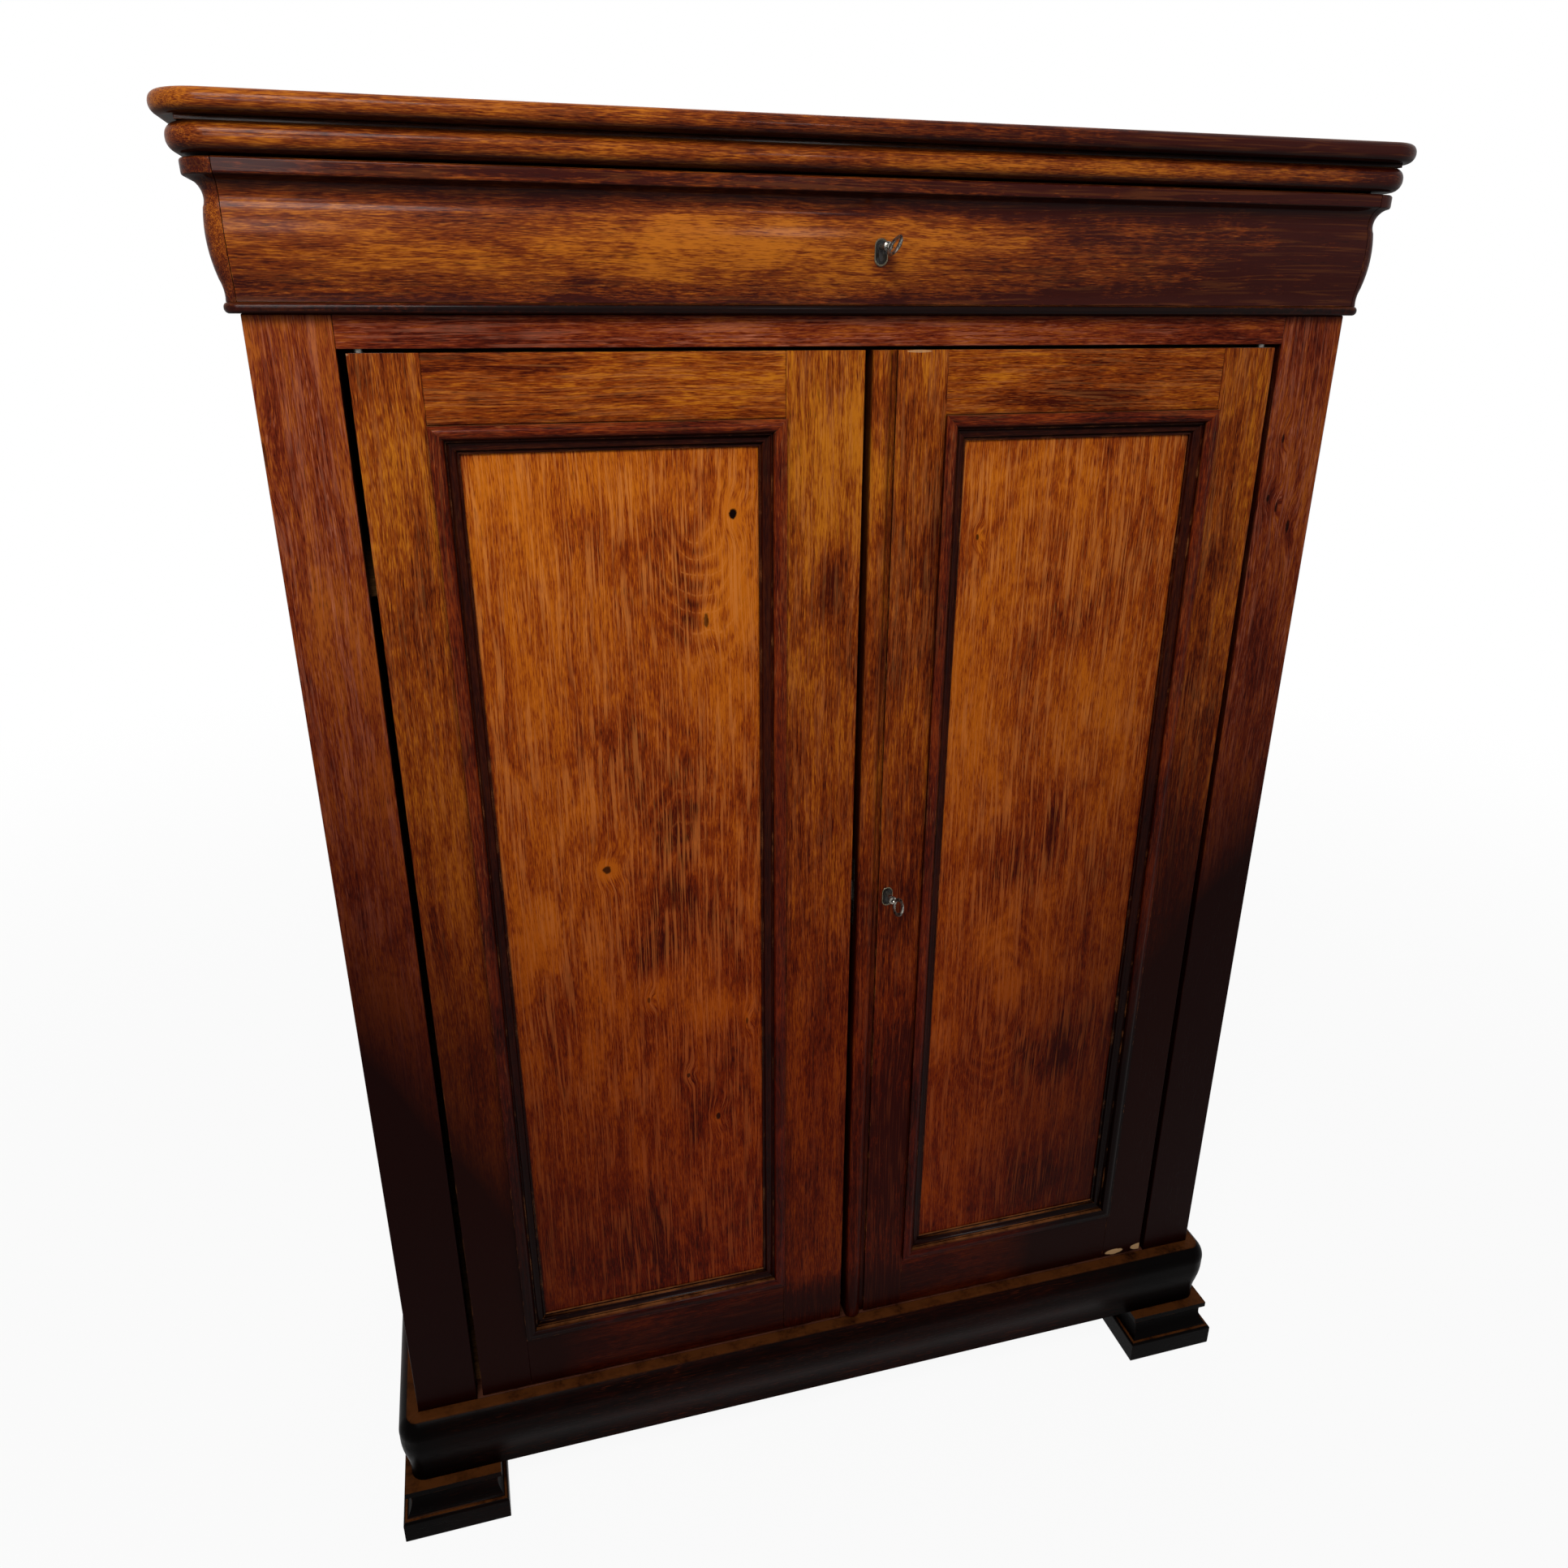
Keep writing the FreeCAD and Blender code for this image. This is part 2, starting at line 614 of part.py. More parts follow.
def inside():
    """Cupboard floor, door stops, hat shelf and hanging rail."""
    floor_front = face + S.stile_depth
    kept(box("bottom_board", (-inner, inner), (floor_front, boards_face),
             (ledge - S.bottom_thickness, ledge)))
    reach = opening - S.stop_inset
    depth = (stop_face, stop_face + S.stop_thickness)
    span = (-reach, reach)
    high = box("upper_stop_wood", span, depth, (opening_top - S.stop_height, opening_top))
    low = box("lower_stop_wood", span, depth, (ledge, ledge + S.stop_height))
    hole = S.catch_rod_diameter + S.catch_hole_clearance * 2
    x, y = catch_axis()
    tall = S.stop_height + S.overrun * 2
    high_hole = rod("upper_stop_hole", (x, y, opening_top - S.stop_height - S.overrun), hole,
                    S.stop_height)
    low_hole = rod("lower_stop_hole", (x, y, ledge + S.overrun), hole, tall)
    kept(grouped("door_stops", cut("upper_door_stop", high, high_hole),
                 cut("lower_door_stop", low, low_hole)))
    shelf_top = opening_top - S.shelf_drop
    shelf_base = shelf_top - S.shelf_thickness
    reach = inner - S.shelf_clearance
    kept(box("hat_shelf", (-reach, reach), (face + S.shelf_setback, boards_face - S.shelf_clearance),
             (shelf_base, shelf_top)))
    cleat_front = face + S.shelf_setback
    cleats = [box("cleat_" + word, span, (cleat_front, boards_face - S.shelf_clearance),
                  (shelf_base - S.cleat_height, shelf_base))
              for word, span in (("left", (-inner, -inner + S.cleat_thickness)),
                                 ("right", (inner - S.cleat_thickness, inner)))]
    kept(grouped("shelf_cleats", *cleats))
    hanging_rail(shelf_base - S.rod_drop, (floor_front + boards_face) / 2)


def hanging_rail(height, y):
    """Round rail for hangers and the two sockets that carry it."""
    grip = inner - S.socket_thickness + S.socket_depth
    kept(rod("hanging_rail", (-grip, y, height), S.rod_diameter, grip * 2, ALONG_X))
    blank = rod("socket_blank", (-inner, y, height), S.socket_diameter, S.socket_thickness,
                ALONG_X)
    bore = rod("socket_bore", (-grip, y, height), S.rod_diameter + S.socket_clearance * 2,
               S.socket_depth + S.overrun, ALONG_X)
    left = cut("left_rail_socket", blank, bore)
    kept(grouped("rail_sockets", left, mirrored("right_rail_socket", left)))


def plinth_outline():
    """Outer line of the plinth from its lower edge to the ledge's edge."""
    return [
        (S.plinth_foot_reach, ZERO),
        (S.plinth_waist_reach, S.plinth_waist_height, -PLINTH_HOLLOW_BOW_SHARE),
        (S.plinth_swell_reach, S.plinth_swell_height, PLINTH_SWELL_BOW_SHARE),
        (S.ledge_reach, S.plinth_height, PLINTH_SHOULDER_BOW_SHARE),
    ]


def plinth():
    """Moulded plinth boards, mitred at the two front corners."""
    steps = plinth_outline() + [(ZERO, S.plinth_height), (ZERO, ZERO)]
    front = section("plinth_front_section", FRONT_SECTION, (-half, face, S.foot_height), steps)
    right_end = section("plinth_end_section", FRONT_SECTION, (half, face, S.foot_height), steps)
    side = section("plinth_side_section", LEFT_SECTION, (-half, face, S.foot_height), steps)
    kept(fused("plinth_front",
               run("plinth_front_run", front, Vector(1, 0, 0), S.body_width),
               turned("plinth_front_left_turn", front, -half, face, -MITRE),
               turned("plinth_front_right_turn", right_end, half, face, MITRE)))
    left = fused("left_plinth",
                 run("left_plinth_run", side, Vector(0, 1, 0), S.body_depth),
                 turned("left_plinth_turn", side, -half, face, MITRE))
    kept(left)
    kept(mirrored("right_plinth", left))


def foot_side(out, step):
    """Moulded side of a front foot, from the floor up."""
    cap = out - step
    cap_base = S.foot_height - S.foot_cap_height
    return [
        (out - S.foot_round, ZERO),
        (out, S.foot_round, QUARTER_ROUND),
        (out, S.foot_base_height - S.foot_round),
        (out - S.foot_round, S.foot_base_height, QUARTER_ROUND),
        (cap - S.foot_hollow_step, cap_base, -FOOT_HOLLOW_BOW_SHARE),
        (cap, cap_base),
        (cap, S.foot_height),
    ]


def other_side(steps):
    """The same line on the other side of u = 0, from its end to its start."""
    flipped = []
    bow = ()
    for step in reversed(steps):
        flipped.append((-step[0], step[1]) + bow)
        bow = step[2:]
    return flipped


def feet():
    """Moulded front feet and plain rear feet."""
    depth = -S.foot_depth
    front = section("foot_front_section", FRONT_SECTION, (-half - S.foot_side_reach, face, ZERO),
                    foot_side(S.foot_base_reach, S.foot_cap_step)
                    + [(depth, S.foot_height), (depth, ZERO)])
    side = section("foot_side_section", LEFT_SECTION, (-half, face - S.foot_base_reach, ZERO),
                   foot_side(S.foot_side_reach, S.foot_side_step)
                   + other_side(foot_side(S.foot_width, S.foot_side_step)))
    foot = shared("left_front_foot",
                  run("foot_front_run", front, Vector(1, 0, 0), S.foot_width + S.foot_side_reach),
                  run("foot_side_run", side, Vector(0, 1, 0), S.foot_depth + S.foot_base_reach))
    kept(foot)
    kept(mirrored("right_front_foot", foot))
    rear_left = box("rear_foot_left", (-half, -half + S.rear_foot_width),
                    (rear - S.rear_foot_width, rear), (ZERO, S.foot_height))
    kept(grouped("rear_feet", rear_left, mirrored("rear_foot_right", rear_left)))


def ogee_outline():
    """Outer line of the drawer front and cornice sides, up to the strip's top."""
    turn_height = S.ogee_height * OGEE_TURN_HEIGHT_SHARE
    neck_height = S.ogee_height * OGEE_NECK_HEIGHT_SHARE
    edge = S.strip_reach - S.strip_round
    top = S.ogee_height + S.strip_height
    return [
        (S.ogee_foot_reach, ZERO),
        (S.ogee_turn_reach, turn_height, -OGEE_HOLLOW_BOW_SHARE),
        (S.ogee_neck_reach, neck_height, OGEE_SWELL_BOW_SHARE),
        (edge, S.ogee_height, -COVE_BOW_SHARE),
        (S.strip_reach, S.ogee_height + S.strip_round, QUARTER_ROUND),
        (S.strip_reach, top - S.strip_round),
        (edge, top, QUARTER_ROUND),
    ]


def cornice():
    """Dust board with its bead, cornice sides, half-round moulding and top board."""
    kept(nosed_board("drawer_dust_board", S.bead_reach, frame_top, S.divider_thickness))
    top = S.ogee_height + S.strip_height
    cap = top + S.cornice_gap
    closing = [(S.cap_reach, top), (S.cap_reach, cap)]
    wall = section("cornice_side_section", LEFT_SECTION, (-half, face, bead_top),
                   ogee_outline() + closing + [(-S.side_thickness, cap),
                                               (-S.side_thickness, ZERO)])
    corner = section("cornice_corner_section", LEFT_SECTION, (-half, face, bead_top),
                     ogee_outline() + closing + [(ZERO, cap), (ZERO, ZERO)])
    blank = fused("left_cornice_blank",
                  run("left_cornice_run", wall, Vector(0, 1, 0), S.body_depth),
                  turned("left_cornice_turn", corner, -half, face, SQUARE))
    lap = box("left_cornice_lap", (-half - S.drawer_front_gap / 2, ZERO),
              (face - S.strip_reach - S.overrun, face + S.drawer_front_depth + S.drawer_lap_gap),
              (bead_top - S.overrun, strip_top + S.overrun))
    left = cut("left_cornice_side", blank, lap)
    kept(left)
    kept(mirrored("right_cornice_side", left))
    moulding = nosed_board("cornice_moulding_board", S.cornice_reach, cornice_base,
                           S.cornice_thickness)
    neck_side = half + S.neck_reach
    neck = box("cornice_neck", (-neck_side, neck_side), (face - S.neck_reach, rear),
               (cornice_top, board_base))
    room = S.bolt_clearance
    x = S.drawer_lock_offset
    y = drawer_bolt_y()
    mortise = box("cornice_mortise",
                  (x - S.bolt_width / 2 - room, x + S.bolt_width / 2 + room),
                  (y[0] - room, y[1] + room),
                  (cornice_base - S.overrun, cornice_base + S.strike_depth))
    member = S.cornice_member
    well = box("cornice_well", (-half + member, half - member), (face + member, rear - member),
               (cornice_base - S.overrun, board_base + S.overrun))
    kept(cut("cornice_moulding", fused("cornice_moulding_wood", moulding, neck), mortise, well))
    kept(box("cornice_back", (-inner, inner), (boards_face, rear), (bead_top, cornice_base)))
    kept(nosed_board("top_board", S.top_reach, board_base, S.top_thickness))


def drawer_bolt_y():
    """Front and back of the drawer lock's bolt."""
    back = face + S.drawer_front_depth
    middle = back - S.case_depth / 2
    return middle - S.bolt_thickness / 2, middle + S.bolt_thickness / 2


def drawer():
    """Drawer front with the ogee face, and the dovetail-deep box behind it."""
    base = bead_top + S.drawer_rest_gap
    end = half - S.drawer_front_gap / 2
    back_line = -S.drawer_front_depth
    steps = ogee_outline() + [(back_line, S.ogee_height + S.strip_height), (back_line, ZERO)]
    outline = section("drawer_front_section", FRONT_SECTION, (-end, face, base), steps)
    wood = run("drawer_front_run", outline, Vector(1, 0, 0), end * 2)
    inside_face = face + S.drawer_front_depth
    tail = boards_face - S.drawer_room
    outer = inner - S.drawer_side_gap
    floor = base + S.drawer_bottom_height
    groove_end = outer - S.drawer_side_thickness + S.drawer_groove
    bottom_sizes = ((-groove_end, groove_end), (inside_face - S.drawer_groove, tail),
                    (floor, floor + S.drawer_bottom_thickness))
    kept(box("drawer_bottom", *bottom_sizes))
    x = S.drawer_lock_offset
    z = base + S.drawer_lock_height
    case = lock_recess("drawer_lock_recess", x, inside_face)
    hole = keyhole("drawer_keyhole", x, z, face - S.strip_reach, inside_face)
    spot = keyhole_plate("drawer_escutcheon_seat", x, z, S.swell_reach,
                         S.escutcheon_thickness + S.overrun)
    kept(cut("drawer_front", wood, box("drawer_front_groove", *bottom_sizes), case, hole, spot))
    left = box("drawer_side_wood", (-outer, -outer + S.drawer_side_thickness),
               (inside_face, tail), (base, base + S.drawer_side_height))
    side = cut("left_drawer_side", left, box("drawer_side_groove", *bottom_sizes))
    kept(side)
    kept(mirrored("right_drawer_side", side))
    reach = outer - S.drawer_side_thickness
    back_base = floor + S.drawer_bottom_thickness
    kept(box("drawer_back", (-reach, reach), (tail - S.drawer_side_thickness, tail),
             (back_base, back_base + S.drawer_back_height)))
    drawer_lock(x, z, inside_face)


def escutcheon_back(reach):
    """Where a keyhole plate's back lies, let into wood that stands out by reach."""
    return face - reach - S.escutcheon_proud + S.escutcheon_thickness


def keyhole_plate(name, x, z, reach, thickness):
    """Long oval slab round a keyhole, from the plate's back towards the front."""
    middle = z - S.keyhole_slot_drop / 2 + S.shank_diameter / 4
    round_half = S.escutcheon_width / 2
    straight = S.escutcheon_height / 2 - round_half
    outline = section(name + "_outline", FRONT_VIEW, (ZERO, escutcheon_back(reach), ZERO), [
        (x - round_half, middle - straight),
        (x + round_half, middle - straight, HALF_ROUND),
        (x + round_half, middle + straight),
        (x - round_half, middle + straight, HALF_ROUND),
    ])
    return run(name, outline, Vector(0, -1, 0), thickness)


def keyhole(name, x, z, front, back):
    """Round hole for the shank with the slot for the bit below it."""
    diameter = S.shank_diameter + S.shank_clearance * 2
    long = back - front + S.overrun * 2
    bore = rod(name + "_bore", (x, front - S.overrun, z), diameter, long, ALONG_Y)
    slot = box(name + "_slot", (x - S.keyhole_slot_width / 2, x + S.keyhole_slot_width / 2),
               (front - S.overrun, back + S.overrun), (z - S.keyhole_slot_drop, z))
    return fused(name, bore, slot)


def escutcheon(name, x, z, reach):
    """Keyhole plate let into the wood's face."""
    back = escutcheon_back(reach)
    front = back - S.escutcheon_thickness
    plate = keyhole_plate(name + "_plate", x, z, reach, S.escutcheon_thickness)
    kept(cut(name, plate, keyhole(name + "_hole", x, z, front, back)))


def lock_recess(name, x, back):
    """Room for the drawer's lock case in the drawer front, open at the back."""
    return box(name, (x - S.case_width / 2, x + S.case_width / 2),
               (back - S.case_depth, back + S.overrun),
               (drawer_case_height()[0], strip_top + S.overrun))


def drawer_case_height():
    """Foot and top of the drawer's lock case."""
    top = strip_top - S.bolt_setback
    return top - S.drawer_case_length, top


def drawer_lock(x, z, back):
    """Lock case, bolt, key and keyhole plate of the drawer."""
    low, high = drawer_case_height()
    wall = S.case_wall
    shell = box("drawer_case_shell", (x - S.case_width / 2, x + S.case_width / 2),
                (back - S.case_depth, back), (low, high))
    room = box("drawer_case_room",
               (x - S.case_width / 2 + wall, x + S.case_width / 2 - wall),
               (back - S.case_depth + wall, back - wall), (low + wall, high - wall))
    bolt_x = (x - S.bolt_width / 2, x + S.bolt_width / 2)
    bolt_y = drawer_bolt_y()
    gap = S.bolt_clearance
    slot = box("drawer_case_slot", (bolt_x[0] - gap, bolt_x[1] + gap),
               (bolt_y[0] - gap, bolt_y[1] + gap), (high - wall - S.overrun, high + S.overrun))
    hole = keyhole("drawer_case_hole", x, z, back - S.case_depth,
                   back - S.case_depth + wall)
    kept(cut("drawer_lock_case", shell, room, slot, hole))
    bolt_top = high - S.bolt_setback
    kept(box("drawer_lock_bolt", bolt_x, bolt_y, (bolt_top - S.bolt_length, bolt_top)))
    escutcheon("drawer_escutcheon", x, z, S.swell_reach)
    kept(key("drawer_key", x, z, face - S.swell_reach, back - S.case_depth / 2,
             DRAWER_KEY_TILT))


def key(name, x, z, surface, bit_y, tilt):
    """Key with an oval bow, a collar and a bit, tilted about its shank."""
    body = doc.addObject("PartDesign::Body", name)
    body.Placement = FreeCAD.Placement(Vector(), FreeCAD.Rotation(Vector(0, 1, 0), tilt)
                                       * KEY_PLANE)
    for axis, place in zip("xyz", (x, surface - S.key_reach, z)):
        bind(body, "Placement.Base." + axis, place)
    # In the key's own frame the shank runs along +v from the bow's end at zero.
    bow_half = S.bow_width / 2
    straight = S.bow_length - S.bow_width
    bar = S.bow_bar
    outer = [
        (-bow_half, bow_half),
        (bow_half, bow_half, HALF_ROUND),
        (bow_half, bow_half + straight),
        (-bow_half, bow_half + straight, HALF_ROUND),
    ]
    hole_half = bow_half - bar
    hole = [
        (-hole_half, bow_half),
        (hole_half, bow_half, HALF_ROUND),
        (hole_half, bow_half + straight),
        (-hole_half, bow_half + straight, HALF_ROUND),
    ]
    bow_pad(body, name + "_bow", outer, bar)
    ring_cut(body, name + "_eye", hole, bar)
    middle = bit_y - (surface - S.key_reach)
    tip = middle + S.bit_width / 2
    shank_start = S.bow_length - bar / 2
    shank = [
        (ZERO, shank_start),
        (S.shank_diameter / 2, shank_start),
        (S.shank_diameter / 2, tip),
        (ZERO, tip),
    ]
    spin(body, name + "_shank", shank)
    collar_start = S.bow_length + S.collar_length
    collar = [
        (ZERO, collar_start),
        (S.collar_diameter / 2, collar_start),
        (S.collar_diameter / 2, collar_start + S.collar_length),
        (ZERO, collar_start + S.collar_length),
    ]
    spin(body, name + "_collar", collar)
    bit = [
        (ZERO, tip - S.bit_width),
        (S.shank_diameter / 2 + S.bit_length, tip - S.bit_width),
        (S.shank_diameter / 2 + S.bit_length, tip),
        (ZERO, tip),
    ]
    bow_pad(body, name + "_bit", bit, S.bit_thickness)
    return body


def bow_pad(body, name, steps, thickness):
    """Flat part of a key, as thick on both sides of the shank's axis."""
    sketch = body_sketch(body, name + "_outline", steps)
    pad = body.newObject("PartDesign::Pad", name)
    pad.Profile = sketch
    pad.SideType = "Symmetric"
    bind(pad, "Length", thickness)
    body.Tip = pad


def ring_cut(body, name, steps, thickness):
    """Eye of the bow, cut from both sides."""
    sketch = body_sketch(body, name + "_outline", steps)
    pocket = body.newObject("PartDesign::Pocket", name)
    pocket.Profile = sketch
    pocket.SideType = "Symmetric"
    bind(pocket, "Length", thickness + S.overrun * 2)
    body.Tip = pocket


def spin(body, name, steps):
    """Round part of a key, turned about the shank's axis."""
    sketch = body_sketch(body, name + "_outline", steps)
    turn = body.newObject("PartDesign::Revolution", name)
    turn.Profile = sketch
    turn.ReferenceAxis = (sketch, ["V_Axis"])
    turn.Angle = FULL_TURN
    body.Tip = turn


def door_span(side):
    """A door's left and right edge."""
    outer = opening - S.hinge_gap
    if side < 0:
        return -outer, S.meeting_offset - S.meeting_gap / 2
    return S.meeting_offset + S.meeting_gap / 2, outer


def rail(name, span, height, panel):
    """Door rail with its two tenons, grooved for the panel."""
    wood = box(name + "_wood", span, (face, face + S.door_thickness), height)
    tenons = tenon_boxes(name + "_tenon", span, height)
    return kept(cut(name, fused(name + "_blank", wood, *tenons), box(name + "_groove", *panel)))


def tenon_boxes(name, span, height):
    """Both tenons of a door rail, which also cut the mortises."""
    middle = face + S.door_thickness / 2
    depth = (middle - S.tenon_thickness / 2, middle + S.tenon_thickness / 2)
    rise = (height[0] + S.tenon_shoulder, height[1] - S.tenon_shoulder)
    return [box(name + "_left", (span[0] - S.tenon_length, span[0]), depth, rise),
            box(name + "_right", (span[1], span[1] + S.tenon_length), depth, rise)]


def door(word, side):
    """One framed and panelled door with its pivot plates."""
    left, right = door_span(side)
    if side < 0:
        span = (left + S.hinge_stile_width, right - S.meeting_stile_width)
    else:
        span = (left + S.meeting_stile_width, right - S.hinge_stile_width)
    name = word + "_door_"
    low = (door_base, door_base + S.door_bottom_rail_height)
    high = (door_top - S.door_top_rail_height, door_top)
    thick = (face, face + S.door_thickness)
    tongue = S.panel_tongue
    panel_face = face + S.panel_setback
    panel = ((span[0] - tongue, span[1] + tongue), (panel_face, panel_face + S.panel_thickness),
             (low[1] - tongue, high[0] + tongue))
    rail(name + "bottom_rail", span, low, panel)
    rail(name + "top_rail", span, high, panel)
    kept(box(name + "panel", *panel))
    panel_moulding(name + "moulding", span, (low[1], high[0]), panel_face)
    cuts = {"left": [], "right": []}
    for place, height in (("low", low), ("high", high)):
        tenons = tenon_boxes(name + place + "_mortise", span, height)
        cuts["left"].append(tenons[0])
        cuts["right"].append(tenons[1])
    for edge in cuts:
        cuts[edge].append(box(name + edge + "_groove", *panel))
    hinge_edge, meeting_edge = ("left", "right") if side < 0 else ("right", "left")
    cuts[hinge_edge].extend(door_plate_cuts(name, side))
    cuts[meeting_edge].extend(meeting_cuts(name, side, left))
    hinge_x = (left, span[0]) if side < 0 else (span[1], right)
    meeting_x = (span[1], right) if side < 0 else (left, span[0])
    hinge = box(name + "hinge_stile_wood", hinge_x, thick, (door_base, door_top))
    kept(cut(name + "hinge_stile", hinge, *cuts[hinge_edge]))
    if side < 0:
        meeting = box(name + "meeting_stile_wood", meeting_x, thick, (door_base, door_top))
    else:
        meeting = astragal_stile(name + "meeting_stile_wood", meeting_x)
    kept(cut(name + "meeting_stile", meeting, *cuts[meeting_edge]))
    kept(grouped(name + "pivot_plates", *door_plates(name, side)))


def moulding_outline():
    """Section of a panel moulding, from its inner edge to the frame."""
    width = S.moulding_width
    return [
        (width, ZERO),
        (width, S.moulding_inner),
        (width * MOULDING_OVOLO_SHARE, S.moulding_inner),
        (width * MOULDING_HOLLOW_SHARE, S.moulding_ovolo, MOULDING_OVOLO_BOW_SHARE),
        (width * MOULDING_ARRIS_SHARE, S.moulding_arris, -MOULDING_HOLLOW_BOW_SHARE),
        (width * MOULDING_QUIRK_SHARE, S.moulding_arris),
        (width * MOULDING_QUIRK_SHARE, S.moulding_quirk),
        (width * MOULDING_BEAD_SHARE, S.moulding_quirk),
        (width * MOULDING_FILLET_SHARE, S.moulding_edge, MOULDING_BEAD_BOW_SHARE),
        (ZERO, S.moulding_edge),
        (ZERO, ZERO),
    ]


def panel_moulding(name, span, rise, base):
    """Four mitred strips that frame a door's panel."""
    (left, right), (low, high) = span, rise
    width = S.moulding_width
    outer = ((left, low), (right, low), (right, high), (left, high))
    inward = ((left + width, low + width), (right - width, low + width),
              (right - width, high - width), (left + width, high - width))
    along, up = Vector(1, 0, 0), Vector(0, 0, 1)
    strips = (("bottom", (left, low), along, right - left), ("right", (right, low), up, high - low),
              ("top", (left, high), along, right - left), ("left", (left, low), up, high - low))
    pieces = []
    for index, (word, corner, direction, length) in enumerate(strips):
        label = "%s_%s" % (name, word)
        profile = section(label + "_section", STRIP_SECTIONS[word], (corner[0], base, corner[1]),
                          moulding_outline())
        following = (index + 1) % len(strips)
        trapezoid = section(label + "_mitre_outline", FRONT_VIEW, (ZERO, base, ZERO),
                            [outer[index], outer[following], inward[following], inward[index]])
        pieces.append(shared(
            label, run(label + "_run", profile, direction, length),
            run(label + "_mitre", trapezoid, Vector(0, -1, 0), S.moulding_edge * 2)))
    kept(grouped(name, *pieces))


def astragal_stile(name, span):
    """Meeting stile of the right door, with the bead and groove along its edge."""
    width = span[1] - span[0]
    bead = S.astragal_width
    plan = [
        (ZERO, S.door_thickness),
        (ZERO, ZERO),
        (bead, ZERO, ASTRAGAL_BOW_SHARE),
        (bead, S.quirk_depth),
        (bead + S.quirk_width, S.quirk_depth),
        (bead + S.quirk_width, ZERO),
        (width, ZERO),
        (width, S.door_thickness),
    ]
    outline = section(name + "_plan", PLAN, (span[0], face, door_base), plan)
    return run(name, outline, Vector(0, 0, 1), door_top - door_base)


def door_plate_box(name, side, base):
    """A pivot plate on one end of a door."""
    across = (pivot_y - S.pivot_plate_width / 2, pivot_y + S.pivot_plate_width / 2)
    return box(name, plate_span(side), across, (base, base + S.pivot_plate_thickness))


def door_plates(name, side):
    """Plates on the door's two ends that turn on the pins."""
    plates = []
    bore = S.pin_diameter + S.pin_clearance * 2
    for place, base in (("low", door_base), ("high", door_top - S.pivot_plate_thickness)):
        plate = door_plate_box(name + place + "_plate_blank", side, base)
        hole = rod(name + place + "_plate_hole", (pivot_x(side), pivot_y, base - S.overrun), bore,
                   S.pivot_plate_thickness + S.overrun * 2)
        plates.append(cut(name + place + "_plate", plate, hole))
    return plates


def door_plate_cuts(name, side):
    """Recesses for those plates and the bores that the pins reach into."""
    bore = S.pin_diameter + S.pin_bore_clearance * 2
    deep = S.pin_length + S.pin_end_room
    x = pivot_x(side)
    return [
        door_plate_box(name + "low_recess", side, door_base),
        door_plate_box(name + "high_recess", side, door_top - S.pivot_plate_thickness),
        rod(name + "low_bore", (x, pivot_y, door_base), bore, deep),
        rod(name + "high_bore", (x, pivot_y, door_top - deep), bore, deep),
    ]


def door_lock_place():
    """The key's axis in the right door: x and z."""
    return S.meeting_offset + S.lock_offset, ledge + S.lock_height


def door_case(left):
    """Box of the right door's lock case, let into the door's back from its edge."""
    back = face + S.door_thickness
    z = door_lock_place()[1]
    return ((left, left + S.case_length), (back - S.case_depth, back),
            (z - S.case_width / 2, z + S.case_width / 2))


def door_bolt(left):
    """Box of the right door's bolt, drawn in."""
    back = face + S.door_thickness
    middle = back - S.case_depth / 2
    z = door_lock_place()[1]
    tip = left + S.bolt_setback
    return ((tip, tip + S.bolt_length),
            (middle - S.bolt_thickness / 2, middle + S.bolt_thickness / 2),
            (z - S.bolt_width / 2, z + S.bolt_width / 2))


def grown(sizes, gap):
    """The same box with a gap all round."""
    return tuple((low - gap, high + gap) for low, high in sizes)


def strike_plate():
    """Box of the strike plate let into the left door's meeting edge."""
    right = door_span(-1)[1]
    middle = face + S.door_thickness - S.case_depth / 2
    z = door_lock_place()[1]
    return ((right - S.strike_thickness, right),
            (middle - S.strike_width / 2, middle + S.strike_width / 2),
            (z - S.strike_length / 2, z + S.strike_length / 2))


def strike_mortise(name):
    """Room in the left door for the thrown bolt."""
    right = door_span(-1)[1]
    depth = grown(door_bolt(right), S.bolt_clearance)
    return box(name, (right - S.strike_depth, right + S.overrun), depth[1], depth[2])


def meeting_cuts(name, side, left):
    """What is cut from a door's meeting stile for the lock."""
    if side < 0:
        return [box(name + "strike_recess", *strike_plate()),
                strike_mortise(name + "strike_mortise")]
    x, z = door_lock_place()
    case = door_case(left)
    reach = ((case[0][0] - S.overrun, case[0][1]), (case[1][0], case[1][1] + S.overrun), case[2])
    plate = keyhole_plate(name + "escutcheon_seat", x, z, ZERO,
                          S.escutcheon_thickness + S.overrun)
    return [box(name + "lock_recess", *reach), plate,
            keyhole(name + "keyhole", x, z, face, case[1][0])]


def door_lock():
    """Lock case, bolt, key, keyhole plate and strike of the doors."""
    left = door_span(1)[0]
    x, z = door_lock_place()
    case = door_case(left)
    wall = S.case_wall
    room = tuple((low + wall, high - wall) for low, high in case)
    bolt = door_bolt(left)
    opening_box = grown(bolt, S.bolt_clearance)
    slot = box("door_case_slot", (case[0][0] - S.overrun, case[0][0] + wall + S.overrun),
               opening_box[1], opening_box[2])
    hole = keyhole("door_case_hole", x, z, case[1][0], case[1][0] + wall)
    kept(cut("door_lock_case", box("door_case_shell", *case), box("door_case_room", *room), slot,
             hole))
    kept(box("door_lock_bolt", *bolt))
    escutcheon("door_escutcheon", x, z, ZERO)
    kept(key("door_key", x, z, face, case[1][0] + S.case_depth / 2, DOOR_KEY_TILT))
    kept(cut("door_strike_plate", box("door_strike_blank", *strike_plate()),
             strike_mortise("door_strike_slot")))


